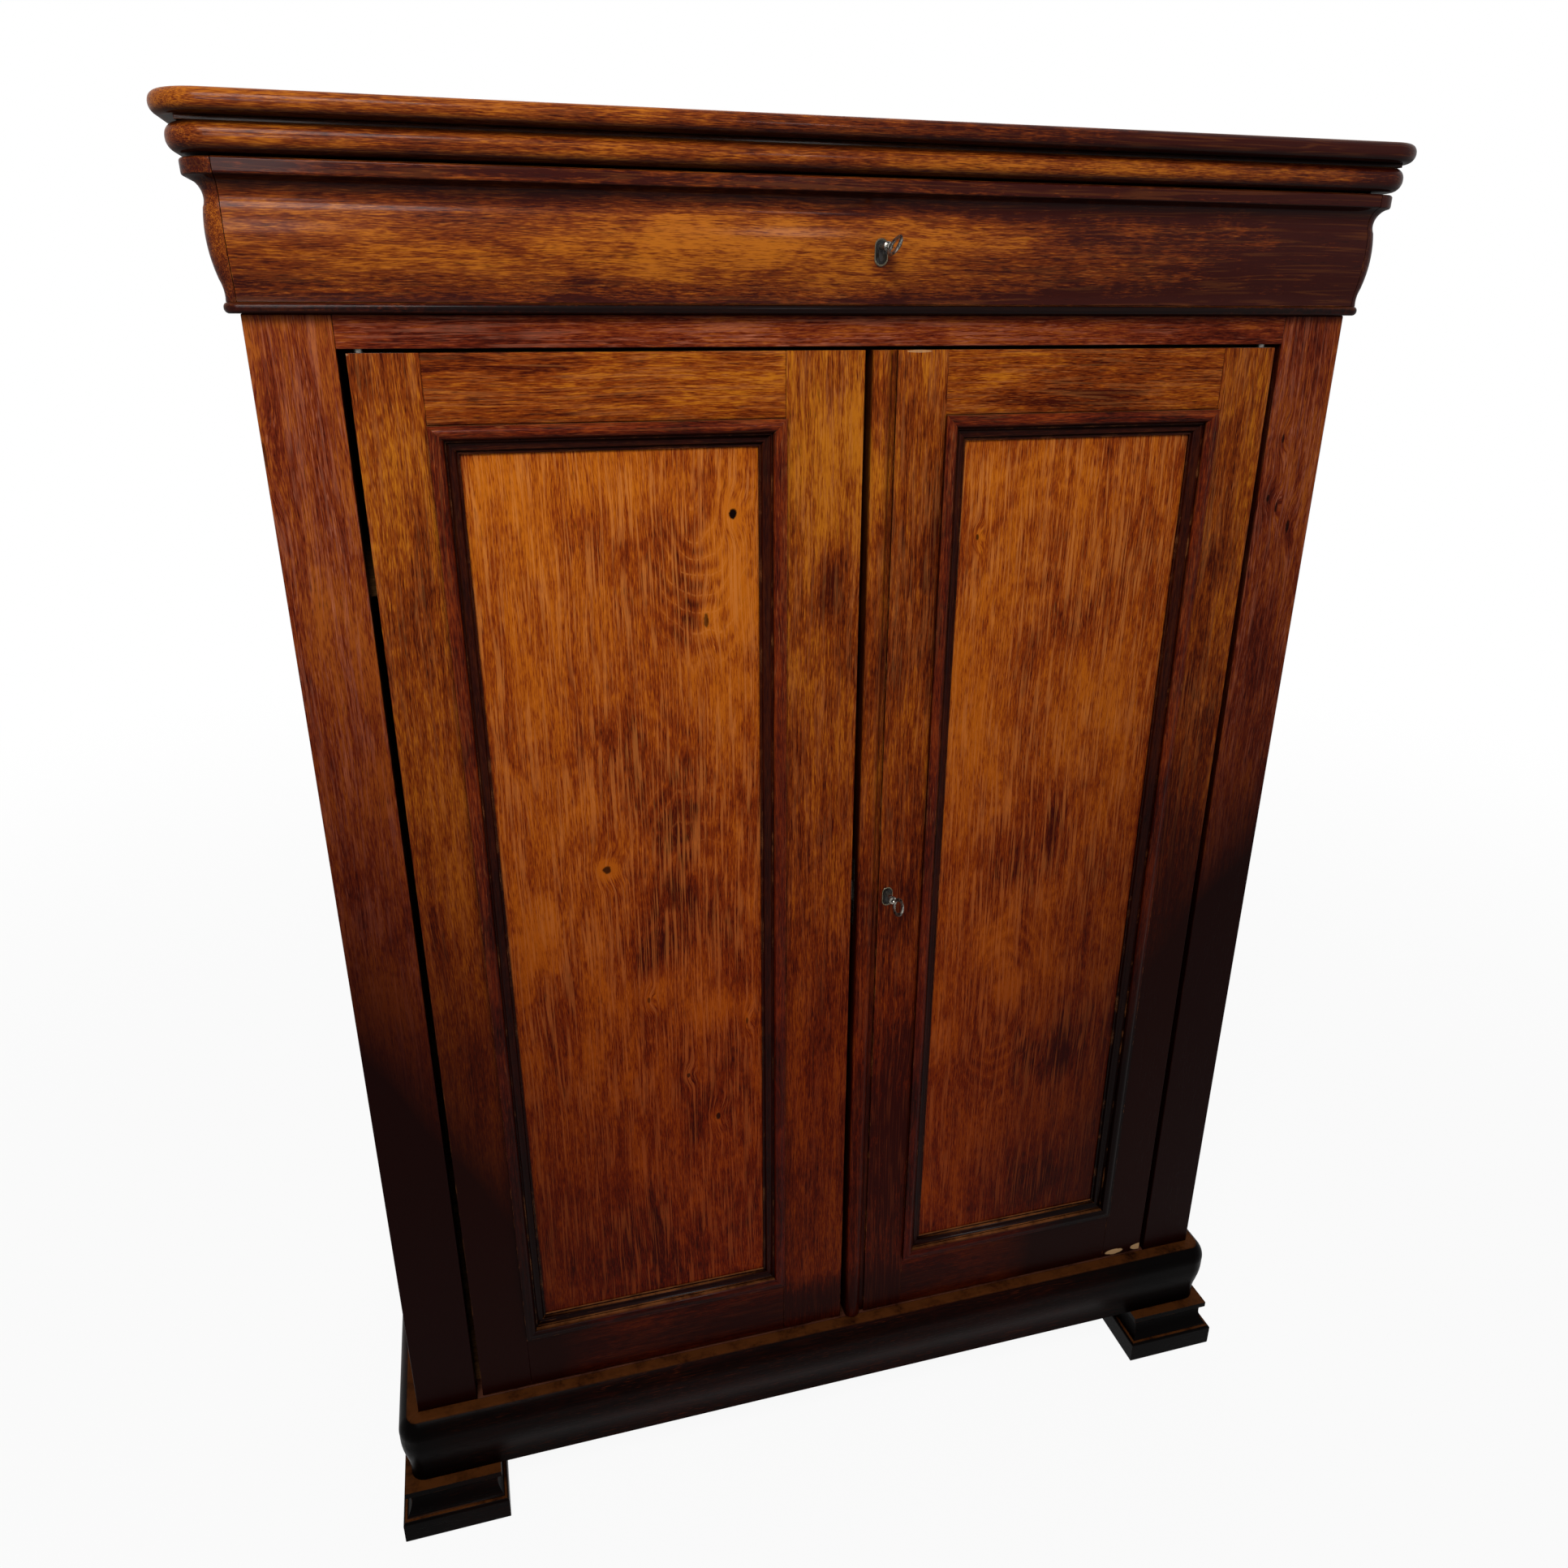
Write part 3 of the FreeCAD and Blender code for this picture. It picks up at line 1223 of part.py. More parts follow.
def catch_axis():
    """Axis of the left door's slide bolts: x and y."""
    x = door_span(-1)[1] - S.catch_inset
    y = face + S.door_thickness + S.catch_plate_thickness + S.catch_guide_depth / 2
    return x, y


def slide_bolt(word, end, up):
    """One slide bolt: up is 1 when it shoots upwards from end, -1 when downwards."""
    x, y = catch_axis()
    back = face + S.door_thickness
    near = end - S.catch_plate_gap * up
    far = near - S.catch_plate_length * up
    height = (far, near) if up > 0 else (near, far)
    across = (x - S.catch_plate_width / 2, x + S.catch_plate_width / 2)
    plate = box(word + "_catch_plate", across, (back, back + S.catch_plate_thickness), height)
    guide_y = (back + S.catch_plate_thickness, back + S.catch_plate_thickness + S.catch_guide_depth)
    ends = ((height[0], height[0] + S.catch_guide_height),
            (height[1] - S.catch_guide_height, height[1]))
    guides = [box("%s_catch_guide_%d" % (word, index), across, guide_y, rise)
              for index, rise in enumerate(ends)]
    bore = rod(word + "_catch_bore", (x, y, height[0] - S.overrun),
               S.catch_rod_diameter + S.catch_rod_clearance * 2,
               S.catch_plate_length + S.overrun * 2)
    frame = cut(word + "_catch_frame", fused(word + "_catch_blank", plate, *guides), bore)
    tip = end - S.catch_end_gap * up
    tail = far - S.catch_end_gap * up
    low, high = (tail, tip) if up > 0 else (tip, tail)
    bar = rod(word + "_catch_bar", (x, y, low), S.catch_rod_diameter, high - low)
    knob = rod(word + "_catch_knob", (x, y, (height[0] + height[1]) / 2), S.catch_knob_diameter,
               S.catch_guide_depth / 2 + S.catch_knob_length, ALONG_Y)
    kept(fused(word + "_slide_bolt", bar, knob))
    return frame


def slide_bolts():
    """Slide bolts that hold the left door at its head and foot."""
    upper = slide_bolt("upper", opening_top - S.stop_height, 1)
    lower = slide_bolt("lower", ledge + S.stop_height, -1)
    kept(grouped("slide_bolt_plates", upper, lower))


def check_objects():
    """Stop when an object failed or a sub-part isn't a sound solid."""
    faults = []
    for part in doc.Objects:
        if "Invalid" in part.State or "Error" in part.State:
            faults.append(part.Name + " failed")
    for part in PARTS:
        shape = part.Shape
        if shape.isNull() or not shape.isValid() or not shape.Solids:
            faults.append(part.Name + " has no sound solid")
    if faults:
        raise SystemExit("; ".join(faults))


def main():
    """Build every sub-part, check them and write one file for each."""
    face_frame()
    frame_pivots()
    sides()
    back_boards()
    inside()
    plinth()
    feet()
    cornice()
    drawer()
    door("left", -1)
    door("right", 1)
    door_lock()
    slide_bolts()
    doc.recompute()
    check_objects()
    os.makedirs("parts", exist_ok=True)
    for part in PARTS:
        part.Shape.exportStep("parts/%s.step" % part.Label)
    print(len(PARTS), "sub-parts written")


main()
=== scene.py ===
"""Looks for a panelled wardrobe with a drawer in its cornice.

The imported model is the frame: every piece stays where its node is, in metres, with +Z up
and the doors facing -Y.
"""

import json
import logging
import math
import random
from collections.abc import Iterable, Sequence
from dataclasses import dataclass, field
from enum import Enum
from functools import cached_property, reduce
from typing import ClassVar

import bmesh
import bpy
from mathutils import Matrix, Vector

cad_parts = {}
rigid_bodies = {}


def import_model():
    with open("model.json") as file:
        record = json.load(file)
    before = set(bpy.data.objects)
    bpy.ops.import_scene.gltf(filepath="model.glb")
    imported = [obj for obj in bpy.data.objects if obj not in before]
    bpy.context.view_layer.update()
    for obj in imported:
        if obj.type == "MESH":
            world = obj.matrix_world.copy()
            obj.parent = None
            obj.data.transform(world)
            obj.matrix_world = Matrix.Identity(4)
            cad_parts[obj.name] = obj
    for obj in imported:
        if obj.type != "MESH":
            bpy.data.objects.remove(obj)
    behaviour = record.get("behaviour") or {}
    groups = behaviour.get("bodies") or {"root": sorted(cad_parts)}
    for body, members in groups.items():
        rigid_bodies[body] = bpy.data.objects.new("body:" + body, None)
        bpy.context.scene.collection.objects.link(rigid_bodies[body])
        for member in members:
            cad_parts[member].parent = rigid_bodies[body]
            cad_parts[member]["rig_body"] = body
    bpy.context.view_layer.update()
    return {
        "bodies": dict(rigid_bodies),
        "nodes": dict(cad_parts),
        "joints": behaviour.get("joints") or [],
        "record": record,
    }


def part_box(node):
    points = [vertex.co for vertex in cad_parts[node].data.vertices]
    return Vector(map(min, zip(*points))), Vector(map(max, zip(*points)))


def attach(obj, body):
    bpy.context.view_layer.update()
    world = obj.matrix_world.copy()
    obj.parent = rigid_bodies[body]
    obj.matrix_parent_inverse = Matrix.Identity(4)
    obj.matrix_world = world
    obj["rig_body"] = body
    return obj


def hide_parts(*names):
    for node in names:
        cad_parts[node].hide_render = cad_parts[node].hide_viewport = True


Colour = tuple[float, float, float, float]
Point = tuple[float, float, float]
Span = tuple[float, float]
Outline = list[tuple[float, float]]
Link = bpy.types.NodeSocket
Mesh = bmesh.types.BMesh

LOG = logging.getLogger("wardrobe")
FIBRE = "fibre"
PLANK = "plank"
WHITE: Colour = (1.0, 1.0, 1.0, 1.0)
SEEN_RAYS = ("Is Camera Ray", "Is Glossy Ray", "Is Transmission Ray")

# Mesh work: distances in metres, angles in radians.
WELD = 1e-6
WELD_DIGITS = 6
FLAT_ANGLE = math.radians(0.4)
ARRIS_ANGLE = math.radians(38)
CREASE_ANGLE = math.radians(32)
BROAD_FACE_WEIGHT = 60
# How far a plank may lie from the log's middle: across, inward and along.
LOG_REACH = ((-0.16, 0.16), (0.0, 0.06), (-3, 3))

# How far painted shade reaches into a corner, how wide an arris is rubbed pale with a painted
# highlight, and how deep relief goes.
CORNER_REACH = 0.02
WOOD_ARRIS_REACH = 0.0016
METAL_ARRIS_REACH = 0.0007
WOOD_RELIEF = 0.00014
METAL_RELIEF = 0.00006


class Axis(Enum):
    """A direction of the frame, or of a plank: across, inward, and along its fibre."""

    X = 0
    Y = 1
    Z = 2


class Side(Enum):
    """Left or right, as seen by someone who faces the doors."""

    LEFT = "left"
    RIGHT = "right"


def linear(level: int) -> float:
    """Turn one display level, 0 to 255, into the linear share that a shader takes."""
    share = level / 255
    return share / 12.92 if share <= 0.04045 else ((share + 0.055) / 1.055) ** 2.4


def shade(red: int, green: int, blue: int) -> Colour:
    """Turn a display colour into a linear one with full alpha."""
    return (linear(red), linear(green), linear(blue), 1.0)


def darkened(colour: Colour, share: float) -> Colour:
    """Lower a colour to a share of its strength."""
    return (colour[0] * share, colour[1] * share, colour[2] * share, 1.0)


class Signal:
    """A number that changes over a surface, with ordinary arithmetic on it."""

    def __init__(self, shader: "Shader", socket: Link) -> None:
        """Wrap the output socket of a node of that shader."""
        self.shader = shader
        self.socket = socket

    def _math(self, operation: str, *terms: "Signal | float", clamp: bool = False) -> "Signal":
        """Add one Math node on these terms."""
        settings = {"operation": operation, "use_clamp": clamp}
        return self.shader.signal("ShaderNodeMath", settings, dict(enumerate(terms)))

    def __add__(self, other: "Signal | float") -> "Signal":
        """Sum."""
        return self._math("ADD", self, other)

    def __radd__(self, other: float) -> "Signal":
        """Sum with a number in front."""
        return self._math("ADD", other, self)

    def __sub__(self, other: "Signal | float") -> "Signal":
        """Difference."""
        return self._math("SUBTRACT", self, other)

    def __rsub__(self, other: float) -> "Signal":
        """Difference from a number."""
        return self._math("SUBTRACT", other, self)

    def __mul__(self, other: "Signal | float") -> "Signal":
        """Product."""
        return self._math("MULTIPLY", self, other)

    def __rmul__(self, other: float) -> "Signal":
        """Product with a number in front."""
        return self._math("MULTIPLY", other, self)

    def sine(self) -> "Signal":
        """Sine of the value in radians."""
        return self._math("SINE", self)

    def most(self, other: "Signal | float") -> "Signal":
        """The greater of two values."""
        return self._math("MAXIMUM", self, other)

    def size(self) -> "Signal":
        """The value without its sign."""
        return self._math("ABSOLUTE", self)

    def clamped(self) -> "Signal":
        """The value held between 0 and 1."""
        return self._math("ADD", self, 0.0, clamp=True)

    def between(self, low: float, high: float) -> "Signal":
        """Rise smoothly from 0 at low to 1 at high.

        Args:
            low: Value that gives 0.
            high: Value that gives 1; it may be the lower one, for a fall.

        Returns:
            The eased share.
        """
        settings = {"interpolation_type": "SMOOTHSTEP"}
        inputs = {"Value": self, "From Min": low, "From Max": high}
        return self.shader.signal("ShaderNodeMapRange", settings, inputs)


Value = Signal | float


@dataclass(frozen=True)
class Noise:
    """Smooth noise, even all round or drawn out along the third axis.

    Its share is how far it counts where it swings round a middle.
    """

    scale: float
    detail: float
    roughness: float
    along: float | None = None
    distortion: float = 0.0
    share: float = 1.0


class Shader:
    """A material, or the world, that is built node by node."""

    def __init__(self, owner: bpy.types.Material | bpy.types.World) -> None:
        """Empty a node tree, to build in it.

        Args:
            owner: What the tree belongs to.
        """
        owner.use_nodes = True
        self.owner = owner
        self.tree = owner.node_tree
        self.tree.nodes.clear()

    def node(self, kind: str, settings: dict[str, object] | None = None,
             inputs: dict[str | int, object] | None = None) -> bpy.types.Node:
        """Add a node of any type.

        Args:
            kind: The node's type.
            settings: Its own settings, set first. "stops" fills a ramp.
            inputs: Values or links of its sockets, by name or place.

        Returns:
            The new node.
        """
        made = self.tree.nodes.new(kind)
        for name, setting in (settings or {}).items():
            if name == "stops":
                self._fill_ramp(made.color_ramp, setting)
            else:
                setattr(made, name, setting)
        for place, term in (inputs or {}).items():
            source = term.socket if isinstance(term, Signal) else term
            if isinstance(source, Link):
                self.tree.links.new(source, made.inputs[place])
            else:
                made.inputs[place].default_value = source
        return made

    @staticmethod
    def _fill_ramp(ramp: bpy.types.ColorRamp, stops: Sequence[tuple[float, Colour]]) -> None:
        """Give a ramp its stops.

        Args:
            ramp: The ramp.
            stops: Place and colour of each stop, in order.
        """
        while len(ramp.elements) < len(stops):
            ramp.elements.new(1.0)
        for element, (place, colour) in zip(ramp.elements, stops):
            element.position = place
            element.color = colour

    def signal(self, kind: str, settings: dict[str, object], inputs: dict[str | int, object],
               output: str | int = 0) -> Signal:
        """Add a node and give back one of its outputs as a number."""
        return Signal(self, self.node(kind, settings, inputs).outputs[output])

    @cached_property
    def place(self) -> Link:
        """Place on the object, in metres."""
        return self.node("ShaderNodeTexCoord").outputs["Object"]

    @cached_property
    def normal(self) -> Link:
        """Direction that the surface faces."""
        return self.node("ShaderNodeNewGeometry").outputs["Normal"]

    def noise(self, kind: Noise, place: Link) -> Signal:
        """Add one noise.

        Args:
            kind: Its scale and character.
            place: Where it is read.

        Returns:
            The noise, between 0 and 1.
        """
        scale = kind.scale
        if kind.along is not None:
            place = self.vector("MULTIPLY", place, (scale, scale, kind.along))
            scale = 1.0
        inputs = {"Vector": place, "Scale": scale, "Detail": kind.detail,
                  "Roughness": kind.roughness, "Distortion": kind.distortion}
        return self.signal("ShaderNodeTexNoise", {}, inputs, "Fac")

    def swing(self, kind: Noise, place: Link) -> Signal:
        """Noise that swings round 0, by its share."""
        return (self.noise(kind, place) - 0.5) * kind.share

    def vector(self, operation: str, *terms: object) -> Link:
        """Add one Vector Math node and give back its vector."""
        made = self.node("ShaderNodeVectorMath", {"operation": operation}, dict(enumerate(terms)))
        return made.outputs[0]

    def length(self, place: Link) -> Signal:
        """Length of a vector."""
        return self.signal("ShaderNodeVectorMath", {"operation": "LENGTH"}, {0: place}, "Value")

    def blend(self, share: Value, first: object, second: object) -> Link:
        """Mix two colours, the second by its share."""
        settings = {"data_type": "RGBA", "clamp_factor": True}
        return self.node("ShaderNodeMix", settings, {0: share, 6: first, 7: second}).outputs[2]

    def part(self, place: Link, axis: Axis) -> Signal:
        """One coordinate of a place."""
        return self.signal("ShaderNodeSeparateXYZ", {}, {0: place}, axis.value)

    def seen(self) -> Signal:
        """1 for what the eye, a reflection or clear glass shows, 0 for plain light."""
        path = self.node("ShaderNodeLightPath").outputs
        return reduce(Signal.most, (Signal(self, path[ray]) for ray in SEEN_RAYS))

    def edge(self, radius: float) -> Signal:
        """How sharply the surface turns within a radius; 0 on flat faces."""
        soft = self.node("ShaderNodeBevel", {"samples": 6}, {"Radius": radius}).outputs[0]
        return 1.0 - self.signal("ShaderNodeVectorMath", {"operation": "DOT_PRODUCT"},
                                 {0: soft, 1: self.normal}, "Value")

    def profile(self, value: Signal, points: Sequence[tuple[float, float]]) -> Value:
        """Smooth line through points, with level ends.

        Args:
            value: Where to read the line.
            points: Place and height of each point, in order.

        Returns:
            The line's height.
        """
        line: Value = points[0][1]
        for (start, low), (end, high) in zip(points, points[1:]):
            line = value.between(start, end) * (high - low) + line
        return line

    def principled(self, base: Link, roughness: Value, fixed: dict[str, object],
                   height: Signal | None = None, relief: float = 0.0) -> bpy.types.Material:
        """End the material with one Principled shader.

        Args:
            base: Base colour.
            roughness: Roughness, fixed or varying.
            fixed: Values for the shader's other sockets.
            height: Height of the surface between 0 and 1, if it isn't smooth.
            relief: What a height of 1 is worth, in metres.

        Returns:
            The finished material.
        """
        inputs = {"Base Color": base, "Roughness": roughness, **fixed}
        if height is not None:
            bump = self.node("ShaderNodeBump", {},
                             {"Strength": 1.0, "Distance": relief, "Height": height})
            inputs["Normal"] = bump.outputs[0]
        self.end(self.node("ShaderNodeBsdfPrincipled", {}, inputs))
        return self.owner

    def show(self, share: Value, lit: bpy.types.Node, shown: bpy.types.Node) -> None:
        """End with what light meets, and by some share with what is shown instead."""
        inputs = {0: share, 1: lit.outputs[0], 2: shown.outputs[0]}
        self.end(self.node("ShaderNodeMixShader", {}, inputs))

    def end(self, surface: bpy.types.Node) -> None:
        """Lead a shader to the output of the material or world."""
        kind = "World" if isinstance(self.owner, bpy.types.World) else "Material"
        self.node("ShaderNodeOutput" + kind, {}, {"Surface": surface.outputs[0]})


@dataclass(frozen=True)
class Mark:
    """An oval place on the wood, by its middle and its size as the doors show it."""

    ragged: ClassVar[Noise] = Noise(60, 2, 0.6, share=0.7)

    x: float
    z: float
    width: float
    height: float


@dataclass(frozen=True)
class Spot(Mark):
    """A dark spot, such as a knot, a stain or a painted shadow line, with a ring of another tone
    round it.
    """

    ragged: ClassVar[Noise] = Noise(240, 2, 0.6, share=0.7)
    core: ClassVar[Span] = (1.05, 0.6)
    ring: ClassVar[Span] = (3.4, 0.8)
    bend: ClassVar[Span] = (6.0, 0.5)

    darkness: float = 0.9
    halo: float = 0.25


@dataclass(frozen=True)
class Patch(Mark):
    """A lighter or darker place, soft unless it is a chip; most on the cornice are painted light
    and shade.
    """

    soft: ClassVar[Span] = (1.25, 0.0)
    figure: ClassVar[Span] = (1.1, 0.3)
    chip: ClassVar[Span] = (1.0, 0.8)

    tone: float


@dataclass(frozen=True)
class Heart:
    """Line of the log's heart behind a board, which sets the figure on its face."""

    across: float
    depths: tuple[tuple[float, float], ...]
    shown: tuple[Patch, ...]


@dataclass(frozen=True)
class Finish:
    """What a surface is finished with."""

    name: str

    def shader(self) -> Shader:
        """Start the finish's material."""
        return Shader(bpy.data.materials.new(self.name))

    def material(self) -> bpy.types.Material:
        """Build the finish's material."""
        raise NotImplementedError(self.name)


@dataclass(frozen=True)
class WoodFinish(Finish):
    """Polished or bare wood, with grain along the plank's fibre."""

    dark: Colour
    middle: Colour
    light: Colour
    # worn is the pale colour of wear, pale lines and filled pores, and of painted light on edges
    # and upward faces.
    worn: Colour
    roughness: float = 0.34
    coat: float = 0.02
    coat_roughness: float = 0.2
    rings: float = 95.0
    ring_share: float = 0.08
    line_share: float = 0.22
    pore_share: float = 0.5
    # How much the edges are rubbed pale, partly wear and partly painted highlights.
    wear: float = 0.6
    gloss: float = 0.02
    # The next two paint shade: at the foot and the outer sides, and in corners.
    gloom: float = 0.95
    dirt: float = 0.9
    # Dust, and painted light, on faces that face up.
    dust: float = 0.2
    # Painted shade on faces that face down.
    under: float = 0.85
    # Painted shade between these depths along Y, in a moulding's sunken parts.
    sunk: tuple[float, float] | None = None
    heart: Heart | None = None
    spots: tuple[Spot, ...] = ()
    patches: tuple[Patch, ...] = ()
    chips: tuple[Patch, ...] = ()

    def deep(self, share: float) -> Colour:
        """The dark tone, lowered to a share."""
        return darkened(self.dark, share)

    def material(self) -> bpy.types.Material:
        """Build the wood's material."""
        return WoodShader(self).build()


class WoodShader(Shader):
    """The nodes of one wood, from the log's rings out to the worn polish and the painted light and
    shade.
    """

    # The wood's figure, the wear on it and the ragged edge of its painted shade, from broad to
    # fine.
    cloud = Noise(3.4, 2, 0.5, share=0.6)
    band = Noise(60, 3, 0.55, 2.4, share=0.45)
    mottle = Noise(20, 5, 0.68, 8, 0.5, share=1.2)
    streak = Noise(420, 3, 0.6, 16, share=0.75)
    hair = Noise(1200, 2, 0.6, 90, share=1.35)
    bend = Noise(24, 2, 0.55, 9, share=0.02)
    sway = Noise(6, 2, 0.5, 2.6)
    plain_depth = Noise(0, 0, 0.4, 1.1)
    thread = Noise(230, 1, 0.5, 5)
    gap = Noise(120, 1, 0.5, 16)
    pore = Noise(900, 2, 0.5, 60)
    crowd = Noise(50, 1, 0.5, 6)
    drift = Noise(2.2, 2, 0.5, share=0.3)
    rub = Noise(34, 4, 0.7)
    scuff = Noise(14, 4, 0.7, share=0.16)
    fine = Noise(160, 2, 0.6, share=0.08)
    # From where to where each step comes in.
    ring_line: Span = (0.95, 1.0)
    streak_line: Span = (0.4, 0.55)
    thread_line: Span = (0.07, 0.015)
    unbroken: Span = (0.36, 0.58)
    open_pores: tuple[Span, Span] = ((0.58, 0.7), (0.3, 0.6))
    filled_pores: tuple[Span, Span] = ((0.42, 0.3), (0.65, 0.4))
    pale_enough: Span = (0.05, 0.5)
    front_to_sides: Span = (-0.215, -0.12)
    # The next four set where painted shade falls: lower down, at the foot, in corners and on faces
    # that face down.
    dusk: Span = (1.38, 0.2)
    foot: Span = (0.34, 0.2)
    corner: Span = (0.85, 0.4)
    underside: Span = (-0.25, -0.85)
    dull_side: Span = (-0.4, -0.9)
    # Where dust and painted light lie on faces that face up.
    top_side: Span = (0.8, 0.99)
    # How sharp an edge is rubbed pale, partly as a painted highlight.
    arris: Span = (0.02, 0.14)
    rubbed_patch: Span = (0.5, 0.72)
    dusty_patch: Span = (0.2, 0.6)
    # How far the rings sway, bend round a spot and lie behind a plain board, in metres.
    sway_across = 0.02
    sway_along = 0.06
    spot_push = 0.006
    plain_reach = 0.16
    # How much each step counts, and how deep its dark colour is.
    plank_share = 0.2
    shown_share = 0.16
    arc_share = 0.4
    filled_share = 0.4
    sunk_share = 0.8
    patch_fade = 0.7
    # The next five shape the painted shade lower down and at the sides, which also reddens the
    # wood.
    dusk_fade = 0.4
    foot_gloom = 0.92
    side_gloom = (4.2, 0.35, 0.6)
    reddening = 1.3
    red_tint: Point = (1.0, 0.5, 0.5)
    pore_dark = 0.3
    spot_dark = 0.08
    # How dark the painted shade is in sunken depths, lower down, and in corners and on undersides.
    sunk_dark = 0.4
    dusk_dark = 0.22
    dirt_dark = 0.1
    pore_height = 0.6
    hair_height = 0.25
    streak_height = 0.15
    rubbed_rough = 0.3
    dull_rough = 0.5
    refraction = 1.46

    def __init__(self, finish: WoodFinish) -> None:
        """Start a wood, with the coordinates that its steps read.

        Args:
            finish: The wood's finish.
        """
        super().__init__(bpy.data.materials.new(finish.name))
        self.finish = finish
        self.ragged: dict[Noise, Signal] = {}
        self.fibre = self.node("ShaderNodeAttribute", {"attribute_name": FIBRE}).outputs["Vector"]
        self.plank = self.signal("ShaderNodeAttribute", {"attribute_name": PLANK}, {}, "Fac")
        self.behind = self.part(self.place, Axis.Y).between(*self.front_to_sides)
        self.upward = self.part(self.normal, Axis.Z)
        self.reaches = [self._oval(spot) for spot in finish.spots]

    def build(self) -> bpy.types.Material:
        """Lay the wood's colours over each other, from its tone to its polish.

        Returns:
            A material that reads each plank's fibre coordinates.
        """
        finish = self.finish
        reach, grain = self._figure()
        shown = self._shown()
        streak, hair = (self.noise(kind, grain) for kind in (self.streak, self.hair))
        turns = (reach + self.swing(self.bend, self.fibre)) * (finish.rings * 2 * math.pi)
        ring = turns.sine() * 0.5 + 0.5
        level, darkness = self._marks(
            self.swing(self.band, grain) + self.swing(self.mottle, self.fibre)
            + self.swing(self.cloud, self.place) + (streak - 0.5) * self.streak.share
            + (hair - 0.5) * self.hair.share + (self.plank - 0.5) * self.plank_share
            + (ring - 0.5) * (shown * self.shown_share + finish.ring_share) + 0.5)
        ramp = {"stops": ((0.14, finish.dark), (0.5, finish.middle), (0.86, finish.light))}
        wood = self.node("ShaderNodeValToRGB", ramp, {0: level}).outputs[0]
        arcs = ring.between(*self.ring_line) * streak.between(*self.streak_line)
        pale = (self._lines(grain) * finish.line_share).most(arcs * shown * self.arc_share)
        wood = self.blend(pale, wood, finish.worn)
        pores, filled = self._pores(grain)
        filled = filled * level.between(*self.pale_enough) * self.filled_share
        wood = self.blend(filled, wood, finish.worn)
        wood = self.blend(pores * finish.pore_share, wood, finish.deep(self.pore_dark))
        wood = self.blend(darkness, wood, finish.deep(self.spot_dark))
        # Painted shade in the sunken parts between the given depths.
        if finish.sunk is not None:
            inner = self.part(self.place, Axis.Y).between(*finish.sunk)
            wood = self.blend(inner * self.sunk_share, wood, finish.deep(self.sunk_dark))
        wood = self._age(wood)
        for chip in finish.chips:
            wood = self.blend(self._oval(chip).between(*chip.chip) * chip.tone, wood, BARE_WOOD)
        wood, roughness = self._wear(wood)
        height = ((1.0 - pores) * self.pore_height + hair * self.hair_height
                  + streak * self.streak_height)
        fixed = {"Coat Weight": finish.coat, "Coat Roughness": finish.coat_roughness,
                 "IOR": self.refraction, "Specular IOR Level": finish.gloss}
        return self.principled(wood, roughness, fixed, height, WOOD_RELIEF)

    def _figure(self) -> tuple[Signal, Link]:
        """Cut the board out of its log; the rings bend round each spot.

        Returns:
            Distance from the log's heart, and coordinates that follow the rings.
        """
        heart = self.finish.heart
        sway = self.noise(self.sway, self.fibre) - 0.5
        across, inward, along = (self.part(self.fibre, axis) for axis in Axis)
        across = across + sway * self.sway_across
        if heart is None:
            depth = (self.noise(self.plain_depth, self.fibre) - 0.3) * self.plain_reach
        else:
            across = across - heart.across
            depth = self.profile(along + sway * self.sway_along, heart.depths)
        for reach in self.reaches:
            across = across + reach.between(*Spot.bend) * self.spot_push
        section = self.node("ShaderNodeCombineXYZ", {}, {0: across, 1: depth + inward})
        grain = self.node("ShaderNodeCombineXYZ", {}, {0: across, 1: inward, 2: along})
        return self.length(section.outputs[0]), grain.outputs[0]

    def _shown(self) -> Value:
        """Tell how clearly the rings show.

        Returns:
            0 where they don't, up to 1 in the middle of the boldest figure.
        """
        shown: Value = 0.0
        for patch in self.finish.heart.shown if self.finish.heart else ():
            shown = self._oval(patch).between(*patch.figure) * patch.tone + shown
        return shown

    def _lines(self, grain: Link) -> Signal:
        """Thin pale lines along the fibre that break off here and there."""
        thread, gap = (self.noise(kind, grain) for kind in (self.thread, self.gap))
        return (thread - 0.5).size().between(*self.thread_line) * gap.between(*self.unbroken)

    def _pores(self, grain: Link) -> tuple[Signal, Signal]:
        """Draw the pores as short strokes along the fibre.

        Args:
            grain: Coordinates that follow the rings.

        Returns:
            Dark open pores, and pores filled with pale polish.
        """
        pore, crowd = (self.noise(kind, grain) for kind in (self.pore, self.crowd))
        dark, pale = (pore.between(*stroke) * crowd.between(*group)
                      for stroke, group in (self.open_pores, self.filled_pores))
        return dark, pale

    def _marks(self, level: Signal) -> tuple[Signal, Value]:
        """Add the patches, which fade towards the back, and the spots; the cornice's are mostly
        painted light and shade.

        Args:
            level: Tone of the wood, 0 for dark to 1 for light.

        Returns:
            The tone with them, and how dark the spots are.
        """
        front = 1.0 - self.behind * self.patch_fade
        for patch in self.finish.patches:
            level = level + self._oval(patch).between(*patch.soft) * (front * patch.tone)
        dark: Value = 0.0
        for spot, reach in zip(self.finish.spots, self.reaches):
            level = level + reach.between(*spot.ring) * spot.halo
            dark = reach.between(*spot.core) * spot.darkness + dark
        return level, dark

    def _oval(self, mark: Mark) -> Signal:
        """Measure how far a place lies from a mark's middle, with a ragged edge.

        Args:
            mark: The mark.

        Returns:
            The distance, in the mark's half sizes.
        """
        if mark.ragged not in self.ragged:
            self.ragged[mark.ragged] = self.swing(mark.ragged, self.place)
        offset = self.vector("SUBTRACT", self.place, (mark.x, 0.0, mark.z))
        flat = self.vector("MULTIPLY", offset, (2 / mark.width, 0.0, 2 / mark.height))
        return self.length(flat) + self.ragged[mark.ragged]

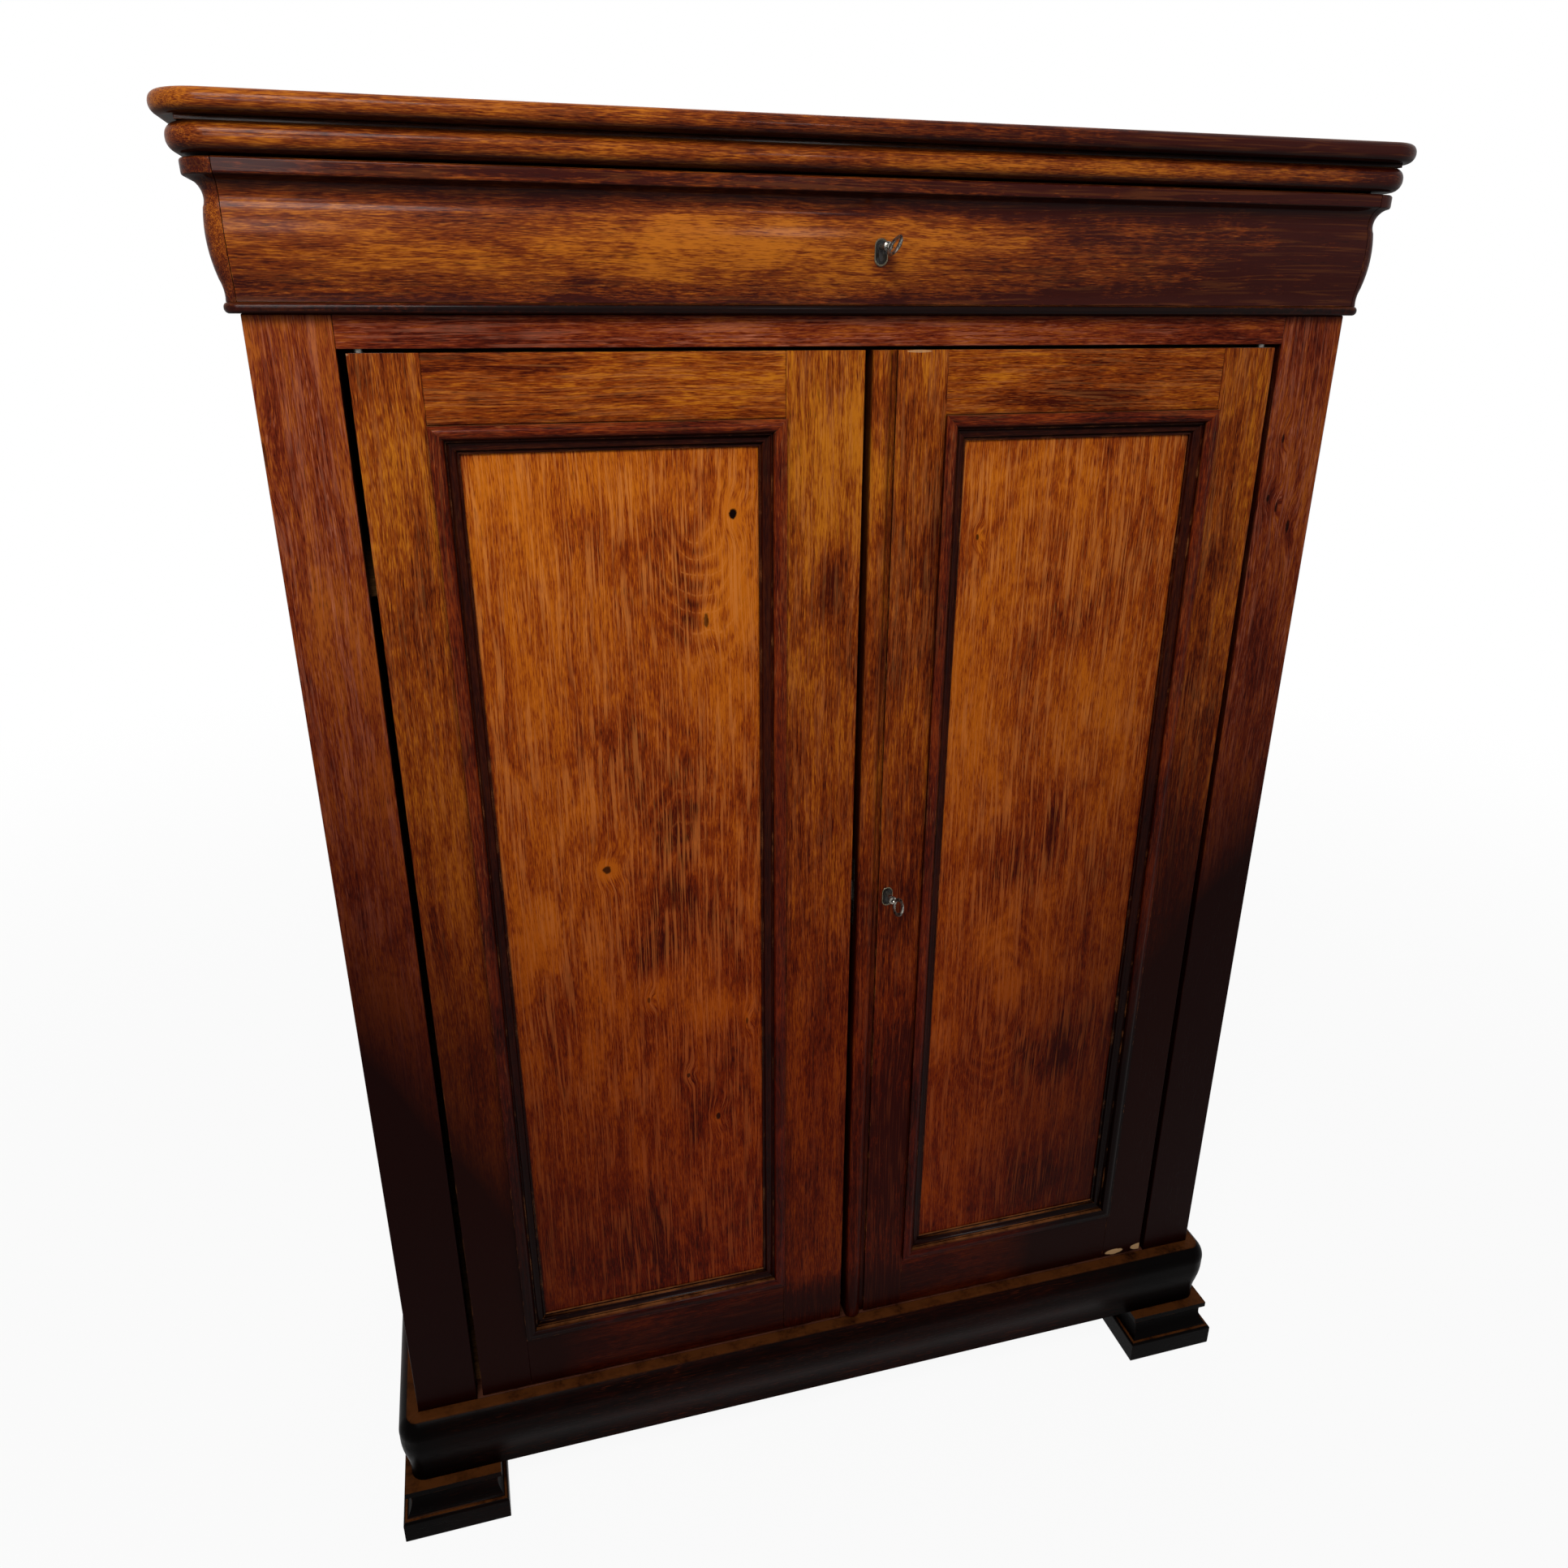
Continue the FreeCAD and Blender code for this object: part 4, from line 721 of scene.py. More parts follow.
    def _age(self, wood: Link) -> Link:
        """Paint shade: darker, redder foot and outer sides, dark corners and undersides.

        Args:
            wood: The wood's own colour.

        Returns:
            The colour with the painted shade.
        """
        finish = self.finish
        # Painted shade: darker and redder lower down, at the foot and towards the outer sides,
        # less towards the back.
        height, side = (self.part(self.place, axis) for axis in (Axis.Z, Axis.X))
        drift = self.swing(self.drift, self.place)
        low = (height + drift).between(*self.dusk) * finish.gloom
        bowed, slanted, level = self.side_gloom
        outer = side * side * bowed + side * slanted + level
        foot = (height + drift * 0.2).between(*self.foot) * (self.foot_gloom * finish.gloom)
        shaded_red = self.vector("MULTIPLY", wood, self.red_tint)
        wood = self.blend((low * self.reddening).clamped(), wood, shaded_red)
        share = (low * outer).most(foot).clamped() * (1.0 - self.behind * self.dusk_fade)
        wood = self.blend(share, wood, finish.deep(self.dusk_dark))
        # Painted shade in corners, from ambient occlusion, and on faces that face down.
        open_air = self.signal("ShaderNodeAmbientOcclusion", {"samples": 4},
                               {"Distance": CORNER_REACH}, "AO")
        facing_down_shade = self.upward.between(*self.underside) * finish.under
        corner_and_under_shade = (open_air.between(*self.corner) * finish.dirt).most(facing_down_shade)
        return self.blend(corner_and_under_shade, wood, finish.deep(self.dirt_dark))

    def _wear(self, wood: Link) -> tuple[Link, Signal]:
        """Rub the edges, partly as painted highlights, lay dust and painted light on tops, and
        scuff the gloss.

        Args:
            wood: The wood's colour.

        Returns:
            The colour with wear, dust and painted light, and the roughness.
        """
        finish = self.finish
        patch = self.noise(self.rub, self.place)
        # Pale rubbed edges, partly wear and partly painted highlights.
        edge = self.edge(WOOD_ARRIS_REACH).between(*self.arris)
        rubbed = edge * patch.between(*self.rubbed_patch) * finish.wear
        # Dust, and painted light, on faces that face up.
        dust = patch.between(*self.dusty_patch) * finish.dust
        wood = self.blend(rubbed.most(self.upward.between(*self.top_side) * dust), wood,
                          finish.worn)
        scuffs = self.swing(self.scuff, self.place) + self.swing(self.fine, self.place)
        dull = self.upward.between(*self.dull_side) * self.dull_rough
        roughness = scuffs + rubbed * self.rubbed_rough + dull + finish.roughness
        return wood, roughness.clamped()


@dataclass(frozen=True)
class MetalFinish(Finish):
    """Old iron, steel or brass, dull and spotted."""

    cloud: ClassVar[Noise] = Noise(220, 4, 0.65)
    speck: ClassVar[Noise] = Noise(1500, 2, 0.6)
    scratch: ClassVar[Noise] = Noise(300, 2, 0.6, 5200)

    bright: Colour
    tarnish: Colour
    # Colour of rubbed edges, partly wear and partly painted highlights.
    rubbed: Colour
    roughness: float
    spotted: float

    def material(self) -> bpy.types.Material:
        """Build the metal.

        Returns:
            A material with tarnish in patches, scratches and rubbed edges that are partly painted
            highlights.
        """
        shader = self.shader()
        cloud, speck, scratch = (shader.noise(kind, shader.place)
                                 for kind in (self.cloud, self.speck, self.scratch))
        share = cloud.between(0.35, 0.7) * self.spotted + speck.between(0.55, 0.75) * 0.3
        colour = shader.blend(share.clamped(), self.bright, self.tarnish)
        # Bright rubbed edges, partly wear and partly painted highlights.
        edge = shader.edge(METAL_ARRIS_REACH).between(0.02, 0.2) * cloud.between(0.25, 0.5)
        colour = shader.blend(edge, colour, self.rubbed)
        roughness = (cloud * 0.25 + scratch * 0.1 + (self.roughness - 0.15)).clamped()
        metallic = (1.0 - share * 0.55).clamped()
        return shader.principled(colour, roughness, {"Metallic": metallic},
                                 cloud * 0.6 + scratch * 0.4, METAL_RELIEF)


@dataclass(frozen=True)
class DarkFinish(Finish):
    """Painted shade inside a keyhole: a dark sheet where the hole shows only shade."""

    dust: ClassVar[Noise] = Noise(900, 2, 0.5)

    def material(self) -> bpy.types.Material:
        """Build the keyhole's painted shade.

        Returns:
            A dull material with a little dust.
        """
        shader = self.shader()
        dust = shader.noise(self.dust, shader.place)
        colour = shader.blend(dust * 0.5, shade(8, 5, 4), shade(30, 20, 16))
        return shader.principled(colour, 0.8, {})


@dataclass(frozen=True)
class FloorFinish(Finish):
    """Plain pale floor that looks white where the camera sees it without a shadow."""

    cloud: ClassVar[Noise] = Noise(6, 2, 0.5)

    colour: Colour
    glow: float = 0.93

    def material(self) -> bpy.types.Material:
        """Build the floor: its colour for light, near white with the shadow for the eye.

        Returns:
            The floor's material.
        """
        shader = self.shader()
        colour = shader.blend(shader.noise(self.cloud, shader.place), self.colour,
                              darkened(self.colour, 0.985))
        paint = shader.node("ShaderNodeBsdfDiffuse", {}, {"Color": colour})
        glow = shader.node("ShaderNodeEmission", {}, {"Color": WHITE, "Strength": 1.0})
        far = shader.length(shader.place).between(1.0, 4.0)
        shader.show(shader.seen() * (far * (1 - self.glow) + self.glow), paint, glow)
        return shader.owner


def islands(bm: Mesh) -> list[list[bmesh.types.BMVert]]:
    """Split a mesh into its loose parts.

    Args:
        bm: The mesh.

    Returns:
        The vertices of each part, in the mesh's order.
    """
    seen: set[int] = set()
    parts: list[list[bmesh.types.BMVert]] = []
    bm.verts.ensure_lookup_table()
    for start in bm.verts:
        if start.index in seen:
            continue
        seen.add(start.index)
        part, waiting = [], [start]
        while waiting:
            vert = waiting.pop()
            part.append(vert)
            for edge in vert.link_edges:
                other = edge.other_vert(vert)
                if other.index not in seen:
                    seen.add(other.index)
                    waiting.append(other)
        parts.append(part)
    return parts


def weld_solids(bm: Mesh) -> None:
    """Weld the faces of each solid, but not two solids that touch.

    Args:
        bm: The mesh, whose faces come solid by solid.
    """
    solids: list[list[bmesh.types.BMVert]] = [[]]
    unmatched: set[frozenset[tuple[float, ...]]] = set()
    for face in bm.faces:
        solids[-1].extend(face.verts)
        places = [tuple(round(value, WELD_DIGITS) for value in vert.co) for vert in face.verts]
        for ends in zip(places, places[1:] + places[:1]):
            unmatched ^= {frozenset(ends)}
        if not unmatched:
            solids.append([])
    for verts in solids:
        bmesh.ops.remove_doubles(bm, verts=list(dict.fromkeys(verts)), dist=WELD)


def give_fibre(bm: Mesh, seed: str, aligned: bool) -> None:
    """Write fibre coordinates and a tone for each plank of a mesh.

    A plank's fibre runs along its longest side, and its thinnest goes into the log.

    Args:
        bm: The mesh; each loose part is one plank.
        seed: Text that fixes the planks' places in the log.
        aligned: Keep the plank's own place, so that knots fall where they belong.
    """
    fibre = bm.verts.layers.float_vector.new(FIBRE)
    plank = bm.verts.layers.float.new(PLANK)
    bm.verts.index_update()
    for number, part in enumerate(islands(bm)):
        low = Vector(min(vert.co[axis] for vert in part) for axis in range(3))
        high = Vector(max(vert.co[axis] for vert in part) for axis in range(3))
        size = high - low
        depth, across, along = sorted(range(3), key=lambda axis: (size[axis], axis))
        luck = random.Random(f"{seed} {number}")
        middle, shift = Vector(), Vector()
        if not aligned:
            middle = (low + high) / 2
            shift = Vector([luck.uniform(*reach) for reach in LOG_REACH])
        tone = luck.uniform(0, 1)
        for vert in part:
            place = vert.co - middle
            inward = vert.co[depth] - low[depth]
            vert[fibre] = Vector((place[across], inward, place[along])) + shift
            vert[plank] = tone


def to_mesh(name: str, bm: Mesh) -> bpy.types.Mesh:
    """Keep mesh work as a mesh of that name.

    Args:
        name: The mesh's name.
        bm: The mesh work, which is freed.

    Returns:
        The mesh.
    """
    mesh = bpy.data.meshes.new(name)
    bm.to_mesh(mesh)
    bm.free()
    return mesh


def put(name: str, data: bpy.types.ID) -> bpy.types.Object:
    """Put a new object in the scene.

    Args:
        name: The object's name.
        data: Its mesh, lamp or camera.

    Returns:
        The object.
    """
    made = bpy.data.objects.new(name, data)
    bpy.context.scene.collection.objects.link(made)
    return made


@dataclass
class Workshop:
    """Holds the frame and the finishes, and makes pieces out of both."""

    frame: dict[str, object]
    finishes: dict[str, bpy.types.Material] = field(default_factory=dict)

    def prepare(self, finishes: Iterable[Finish]) -> None:
        """Build every finish once.

        Args:
            finishes: The finishes.
        """
        for finish in finishes:
            self.finishes[finish.name] = finish.material()
            LOG.info("finish %s", finish.name)

    def body_of(self, node: str) -> str:
        """Name the body that a node belongs to."""
        return str(self.frame["nodes"][node]["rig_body"])

    def add(self, name: str, bm: Mesh, finish: str, body: str) -> bpy.types.Object:
        """Turn a mesh into a piece that rides on a body.

        Args:
            name: The piece's name.
            bm: Its mesh, which is freed.
            finish: Name of its finish.
            body: Body that it rides on.

        Returns:
            The new piece.
        """
        mesh = to_mesh(name, bm)
        mesh.materials.append(self.finishes[finish])
        mesh.polygons.foreach_set("use_smooth", [True] * len(mesh.polygons))
        mesh.set_sharp_from_angle(angle=CREASE_ANGLE)
        piece = put(name, mesh)
        normals = piece.modifiers.new("normals", "WEIGHTED_NORMAL")
        normals.keep_sharp = True
        normals.weight = BROAD_FACE_WEIGHT
        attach(piece, body)
        LOG.info("piece %s on %s", name, body)
        return piece

    def soften(self, node: str, finish: str, arris: float, aligned: bool = False) -> None:
        """Make a node's wooden piece, with its arrises eased and its fibre laid.

        Args:
            node: The node that the piece stands for.
            finish: Name of its finish.
            arris: How far back each sharp edge is eased, in metres.
            aligned: Keep the plank's own place in the wood.
        """
        bm = bmesh.new()
        bm.from_mesh(self.frame["nodes"][node].data)
        weld_solids(bm)
        bmesh.ops.dissolve_limit(bm, angle_limit=FLAT_ANGLE, verts=bm.verts, edges=bm.edges)
        bm.normal_update()
        sharp = [edge for edge in bm.edges if len(edge.link_faces) == 2
                 and edge.calc_face_angle(0.0) > ARRIS_ANGLE and edge.calc_length() > arris * 3]
        bmesh.ops.bevel(bm, geom=sharp, offset=arris, segments=2, profile=0.6,
                        affect="EDGES", clamp_overlap=True)
        bmesh.ops.dissolve_degenerate(bm, dist=WELD, edges=bm.edges)
        give_fibre(bm, node, aligned)
        piece = self.add(node + ".wood", bm, finish, self.body_of(node))
        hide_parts(node)

    def polish(self, finish: str, *nodes: str) -> None:
        """Give nodes that keep their own mesh their finish.

        Args:
            finish: Name of the finish.
            nodes: The nodes.
        """
        for node in nodes:
            materials = self.frame["nodes"][node].data.materials
            materials.clear()
            materials.append(self.finishes[finish])
            LOG.info("node %s in %s", node, finish)


def circle(steps: int, shift: float = 0.0) -> list[float]:
    """Angles of even steps round a circle, the first shifted by part of a step."""
    return [2 * math.pi * (step + shift) / steps for step in range(steps)]


def loft(lines: Sequence[Sequence[Point]], closed: bool = False) -> Mesh:
    """Bridge outlines into a closed mesh.

    Args:
        lines: Outlines with the same number of points.
        closed: Whether the last outline meets the first; else both ends are filled.

    Returns:
        The mesh.
    """
    bm = bmesh.new()
    rings = [[bm.verts.new(point) for point in line] for line in lines]
    for first, second in zip(rings, rings[1:] + (rings[:1] if closed else [])):
        for place in range(len(first)):
            following = (place + 1) % len(first)
            bm.faces.new((first[place], first[following], second[following], second[place]))
    if not closed:
        bm.faces.new(list(reversed(rings[0])))
        bm.faces.new(rings[-1])
    bmesh.ops.recalc_face_normals(bm, faces=bm.faces)
    return bm


def lathe(profile: Sequence[tuple[float, float]], turns: int) -> Mesh:
    """Turn a profile, of radius and height from the foot up, about the Z axis."""
    return loft([[(radius * math.cos(a), radius * math.sin(a), height) for a in circle(turns)]
                 for radius, height in profile])


def gather(parts: Iterable[Mesh]) -> Mesh:
    """Put several meshes together as one.

    Args:
        parts: The meshes, which are freed.

    Returns:
        The one mesh.
    """
    whole = bmesh.new()
    for part in parts:
        mesh = to_mesh("part", part)
        whole.from_mesh(mesh)
        bpy.data.meshes.remove(mesh)
    return whole


@dataclass
class Assembly:
    """Pieces that are made and dressed together."""

    workshop: Workshop

    def wood(self, finish: str, arris: float, *nodes: str) -> None:
        """Make the wooden pieces of some nodes, their arrises eased by some metres."""
        for node in nodes:
            self.workshop.soften(node, finish, arris)


@dataclass
class Screws(Assembly):
    """Slotted screw heads on the inner side of a lock's case."""

    case: str
    drop: float
    radius: float = 0.0032
    height: float = 0.0011
    slot_width: float = 0.0009
    inset: float = 0.008

    def build(self, name: str) -> None:
        """Set four heads at the corners of the case, as one piece.

        Args:
            name: The piece's name.
        """
        low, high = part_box(self.case)
        turn = Vector((0, 1, 0)).to_track_quat("Z", "Y").to_matrix().to_4x4()
        luck = random.Random(name)
        heads = [self._head(Matrix.Translation((x, high.y, z)) @ turn, luck.uniform(0, math.pi))
                 for x in (low.x + self.inset, high.x - self.inset)
                 for z in (low.z + self.inset, high.z - self.drop)]
        self.workshop.add(name, gather(heads), "steel", self.workshop.body_of(self.case))

    def _head(self, place: Matrix, angle: float) -> Mesh:
        """One domed head, in two halves beside its slot.

        Args:
            place: Where it stands and which way it faces.
            angle: Turn of the slot, in radians.

        Returns:
            The head.
        """
        bm = lathe(((self.radius, -0.0002), (self.radius, self.height * 0.35),
                    (self.radius * 0.93, self.height * 0.45)), 20)
        half = self.slot_width / 2
        start = math.asin(half / self.radius)
        steps = [start + (math.pi - 2 * start) * step / 10 for step in range(11)]
        for sign in (-1, 1):
            rims = []
            for share, level in ((0.93, 0.45), (0.8, 0.8), (0.5, 1.0)):
                reach = self.radius * share
                rims.append([bm.verts.new((reach * math.cos(a),
                                           sign * max(half, reach * math.sin(a)),
                                           self.height * level)) for a in steps])
            for first, second in zip(rims, rims[1:]):
                for side in zip(first, first[1:], second[1:], second):
                    bm.faces.new(side)
            bm.faces.new(rims[-1])
            bm.faces.new(list(reversed(rims[0])))
            bm.faces.new([rim[0] for rim in rims] + [rim[-1] for rim in reversed(rims)])
        bmesh.ops.recalc_face_normals(bm, faces=bm.faces)
        bm.transform(Matrix.Rotation(angle, 4, "Z"))
        bm.transform(place)
        return bm


@dataclass
class Key(Assembly):
    """Old iron key that stands in its lock, with an oval bow and a turned collar."""

    node: str
    tilt: float
    bow_length: float = 0.028
    bow_width: float = 0.022
    bar: float = 0.0028
    shank: float = 0.0030
    collar: float = 0.0046

    def build(self) -> None:
        """Build the key where its node is, on the axis of the joint that turns it."""
        low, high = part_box(self.node)
        length = high.y - low.y
        joint = next(joint for joint in self.workshop.frame["joints"]
                     if joint["child"] == self.node)
        x, _, z = joint["pos_m"]
        bm = gather((self._bow(), self._shank(length), self._bit(length)))
        turn = Matrix.Rotation(math.radians(self.tilt), 4, "Y")
        bm.transform(Matrix.Translation((x, low.y, z)) @ turn)
        body = self.workshop.body_of(self.node)
        piece = self.workshop.add(self.node + ".forged", bm, "iron", body)
        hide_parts(self.node)

    def _bow(self) -> Mesh:
        """Oval ring, thicker where the fingers press.

        Returns:
            The ring, in the YZ plane.
        """
        long, wide = self.bow_length / 2 - self.bar, self.bow_width / 2 - self.bar
        angles = circle(56)
        path = [Vector((0, self.bow_length / 2 + long * math.cos(angle),
                        wide * (1 - 0.06 * math.cos(2 * angle)) * math.sin(angle) / 1.06))
                for angle in angles]
        lines = []
        for place, angle in enumerate(angles):
            forward = path[(place + 1) % len(path)] - path[place - 1]
            up = Vector((1, 0, 0)).cross(forward).normalized()
            size = self.bar * (0.86 + 0.14 * math.cos(2 * angle))
            lines.append([path[place] + Vector((size * 0.6 * math.cos(a), 0, 0))
                          + up * (size * math.sin(a)) for a in circle(14)])
        return loft(lines, closed=True)

    def _shank(self, length: float) -> Mesh:
        """Turned shank with its collar and two fine rings.

        Args:
            length: Length of the whole key.

        Returns:
            The shank, along Y.
        """
        start = self.bow_length - self.bar * 1.3
        collar = self.bow_length + 0.0042
        profile = ((0.0016, start), (0.0028, start + 0.0012), (0.0024, start + 0.0026),
                   (self.shank * 0.92, collar - 0.0022), (self.collar * 0.94, collar - 0.0014),
                   (self.collar, collar), (self.collar * 0.94, collar + 0.0014),
                   (self.shank * 0.95, collar + 0.0022), (self.shank * 1.14, collar + 0.0034),
                   (self.shank * 0.95, collar + 0.0044), (self.shank * 0.96, length - 0.001),
                   (self.shank * 0.7, length))
        bm = lathe(profile, 28)
        bm.transform(Matrix.Rotation(-math.pi / 2, 4, "X"))
        return bm

    def _bit(self, length: float) -> Mesh:
        """Stepped bit at the key's end, inside the lock."""
        outline = ((-0.0115, 0.006), (-0.0115, 0.0042), (-0.0085, 0.0042), (-0.0085, 0.0028),
                   (-0.0115, 0.0028), (-0.0115, 0.0002), (-0.001, 0.0002), (-0.001, 0.006))
        return loft([[(x, length - back, down) for down, back in outline]
                     for x in (-0.0012, 0.0012)])


@dataclass
class KeyholePlate(Assembly):
    """Oval metal plate let into the wood round a keyhole."""

    node: str
    hole: float = 0.0031
    slot_half: float = 0.0018
    slot_drop: float = 0.011

    def build(self) -> None:
        """Build the plate with a rounded rim, a keyhole and a dark sheet behind it as painted
        shade.
        """
        low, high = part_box(self.node)
        middle = (low + high) / 2
        outer = self._stadium(middle, (high.x - low.x) / 2, (high.z - low.z) / 2)
        key_z = middle.z + self.slot_drop / 2 - self.hole / 2
        hole = self._keyhole(middle.x, key_z, len(outer))
        face = low.y + 0.0006
        rim = [[(middle.x + (x - middle.x) * share, y, middle.z + (z - middle.z) * share)
                for x, z in outer]
               for share, y in ((1.0, high.y), (1.0, low.y + 0.0003), (0.97, low.y),
                                (0.91, low.y), (0.88, low.y + 0.0004), (0.88, high.y))]
        sheet = [[(x, face, z) for x, _, z in rim[-1]], [(x, face, z) for x, z in hole]]
        sheet += [[(x, high.y, z) for x, _, z in line] for line in reversed(sheet)]
        # A dark sheet across the back of the keyhole, as painted shade.
        shade_sheet = [[(x, y, z) for x, z in hole] for y in (high.y - 0.0001, high.y)]
        body = self.workshop.body_of(self.node)
        plate = self.workshop.add(self.node + ".plate", loft(rim, True), "brass", body)
        self.workshop.add(self.node + ".sheet", loft(sheet, True), "black_iron", body)
        self.workshop.add(self.node + ".dark", loft(shade_sheet), "keyhole_dark", body)
        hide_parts(self.node)

    @staticmethod
    def _stadium(middle: Vector, half_x: float, half_z: float) -> Outline:
        """Long oval outline, from its right side round.

        Args:
            middle: Its middle.
            half_x: Half its width.
            half_z: Half its height.

        Returns:
            Places across and up.
        """
        straight = half_z - half_x
        return [(middle.x + half_x * math.cos(angle),
                 middle.z + half_x * math.sin(angle) + math.copysign(straight, math.sin(angle)))
                for angle in circle(48, 0.5)]

    def _keyhole(self, x: float, z: float, count: int) -> Outline:
        """Keyhole outline, from its right side round.

        Args:
            x: Middle of the round part.
            z: Height of that middle.
            count: Number of points.

        Returns:
            Places across and up.
        """
        slot = math.asin(self.slot_half / self.hole)
        upper = count - 8
        line = []
        for step in range(upper):
            angle = -math.pi / 2 + slot + (2 * math.pi - 2 * slot) * step / (upper - 1)
            line.append((x + self.hole * math.cos(angle), z + self.hole * math.sin(angle)))
        foot = z - self.slot_drop
        left = [(x - self.slot_half, z - self.hole - (self.slot_drop - self.hole) * step / 3)
                for step in (1, 2)]
        line += left + [(x + self.slot_half * share, foot) for share in (-1, -0.5, 0.5, 1)]
        line += [(2 * x - across, up) for across, up in reversed(left)]
        start = min(range(count), key=lambda i: abs(line[i][1] - z) + (line[i][0] < x))
        return line[start:] + line[:start]


@dataclass
class Carcass(Assembly):
    """Face frame, sides, back and inside."""

    arris: float = 0.0012

    def build(self) -> None:
        """Build the carcass's wooden pieces."""
        self.wood("frame_wood", self.arris, "left_stile", "right_stile", "top_rail",
                  "bottom_rail", "rear_posts", "side_rails", "left_side_panel",
                  "right_side_panel")
        self.wood("inside_wood", self.arris, "back_boards", "bottom_board", "door_stops",
                  "hat_shelf", "shelf_cleats", "cornice_back", "hanging_rail", "rail_sockets")
        self.workshop.polish("steel", "frame_pivot_pins")


@dataclass
class Base(Assembly):
    """Moulded plinth and the feet."""

    arris: float = 0.0012

    def build(self) -> None:
        """Build the plinth boards and the feet."""
        self.wood("plinth_wood", self.arris, "plinth_front", "left_plinth", "right_plinth",
                  "left_front_foot", "right_front_foot", "rear_feet")


@dataclass
class Cornice(Assembly):
    """Bead, ogee corners, half-round moulding and top board."""

    arris: float = 0.0008
    moulding_arris: float = 0.0004

    def build(self) -> None:
        """Build the cornice's pieces."""
        self.wood("cornice_wood", self.arris, "drawer_dust_board", "left_cornice_side",
                  "right_cornice_side", "top_board")
        self.wood("cornice_wood", self.moulding_arris, "cornice_moulding")


@dataclass
class Drawer(Assembly):
    """Drawer behind the ogee front, with its lock and key."""

    arris: float = 0.0008
    key_tilt: float = 28.0
    screw_drop: float = 0.012

    def build(self) -> None:
        """Build the drawer's wood, lock, key and keyhole plate."""
        self.wood("cornice_wood", self.arris, "drawer_front")
        self.wood("inside_wood", self.arris, "left_drawer_side", "right_drawer_side",
                  "drawer_back", "drawer_bottom")
        self.workshop.polish("iron", "drawer_lock_case")
        self.workshop.polish("steel", "drawer_lock_bolt")
        Key(self.workshop, "drawer_key", self.key_tilt).build()
        KeyholePlate(self.workshop, "drawer_escutcheon").build()
        Screws(self.workshop, "drawer_lock_case", self.screw_drop).build("drawer_lock_screws")


@dataclass
class Door(Assembly):
    """Framed and panelled door on pivots."""

    side: Side
    arris: float = 0.0011
    mortise_arris: float = 0.0004
    moulding_arris: float = 0.0003

    def build(self) -> None:
        """Build the door's frame, panel, mouldings and plates."""
        name = self.side.value + "_door_"
        self.wood("door_wood", self.arris, name + "hinge_stile")
        self.wood("door_wood", self.mortise_arris, name + "meeting_stile")
        self.wood("door_wood", self.arris, name + "top_rail", name + "bottom_rail")
        self.workshop.soften(name + "panel", self.side.value + "_panel_wood", self.arris, True)
        self.wood("moulding_wood", self.moulding_arris, name + "moulding")
        self.workshop.polish("steel", name + "pivot_plates")


@dataclass
class LockAndBolts(Assembly):
    """The doors' lock, its key and strike, and the left door's slide bolts."""

    key_tilt: float = 20.0
    screw_drop: float = 0.008

    def build(self) -> None:
        """Build the metal fittings of the doors."""
        self.workshop.polish("iron", "door_lock_case")
        self.workshop.polish("steel", "door_lock_bolt", "door_strike_plate",
                             "slide_bolt_plates", "upper_slide_bolt", "lower_slide_bolt")
        Key(self.workshop, "door_key", self.key_tilt).build()
        KeyholePlate(self.workshop, "door_escutcheon").build()
        Screws(self.workshop, "door_lock_case", self.screw_drop).build("door_lock_screws")


@dataclass(frozen=True)
class Lamp:
    """A soft round lamp, in metres and watts."""

    name: str
    place: Point
    target: Point
    size: float
    power: float

    def hang(self) -> None:
        """Hang the lamp so that it shines on its target."""
        light = bpy.data.lights.new(self.name, "AREA")
        light.shape = "DISK"
        light.size = self.size
        light.energy = self.power
        lamp = put(self.name, light)
        lamp.location = self.place
        way = Vector(self.target) - Vector(self.place)
        lamp.rotation_euler = way.to_track_quat("-Z", "Y").to_euler()


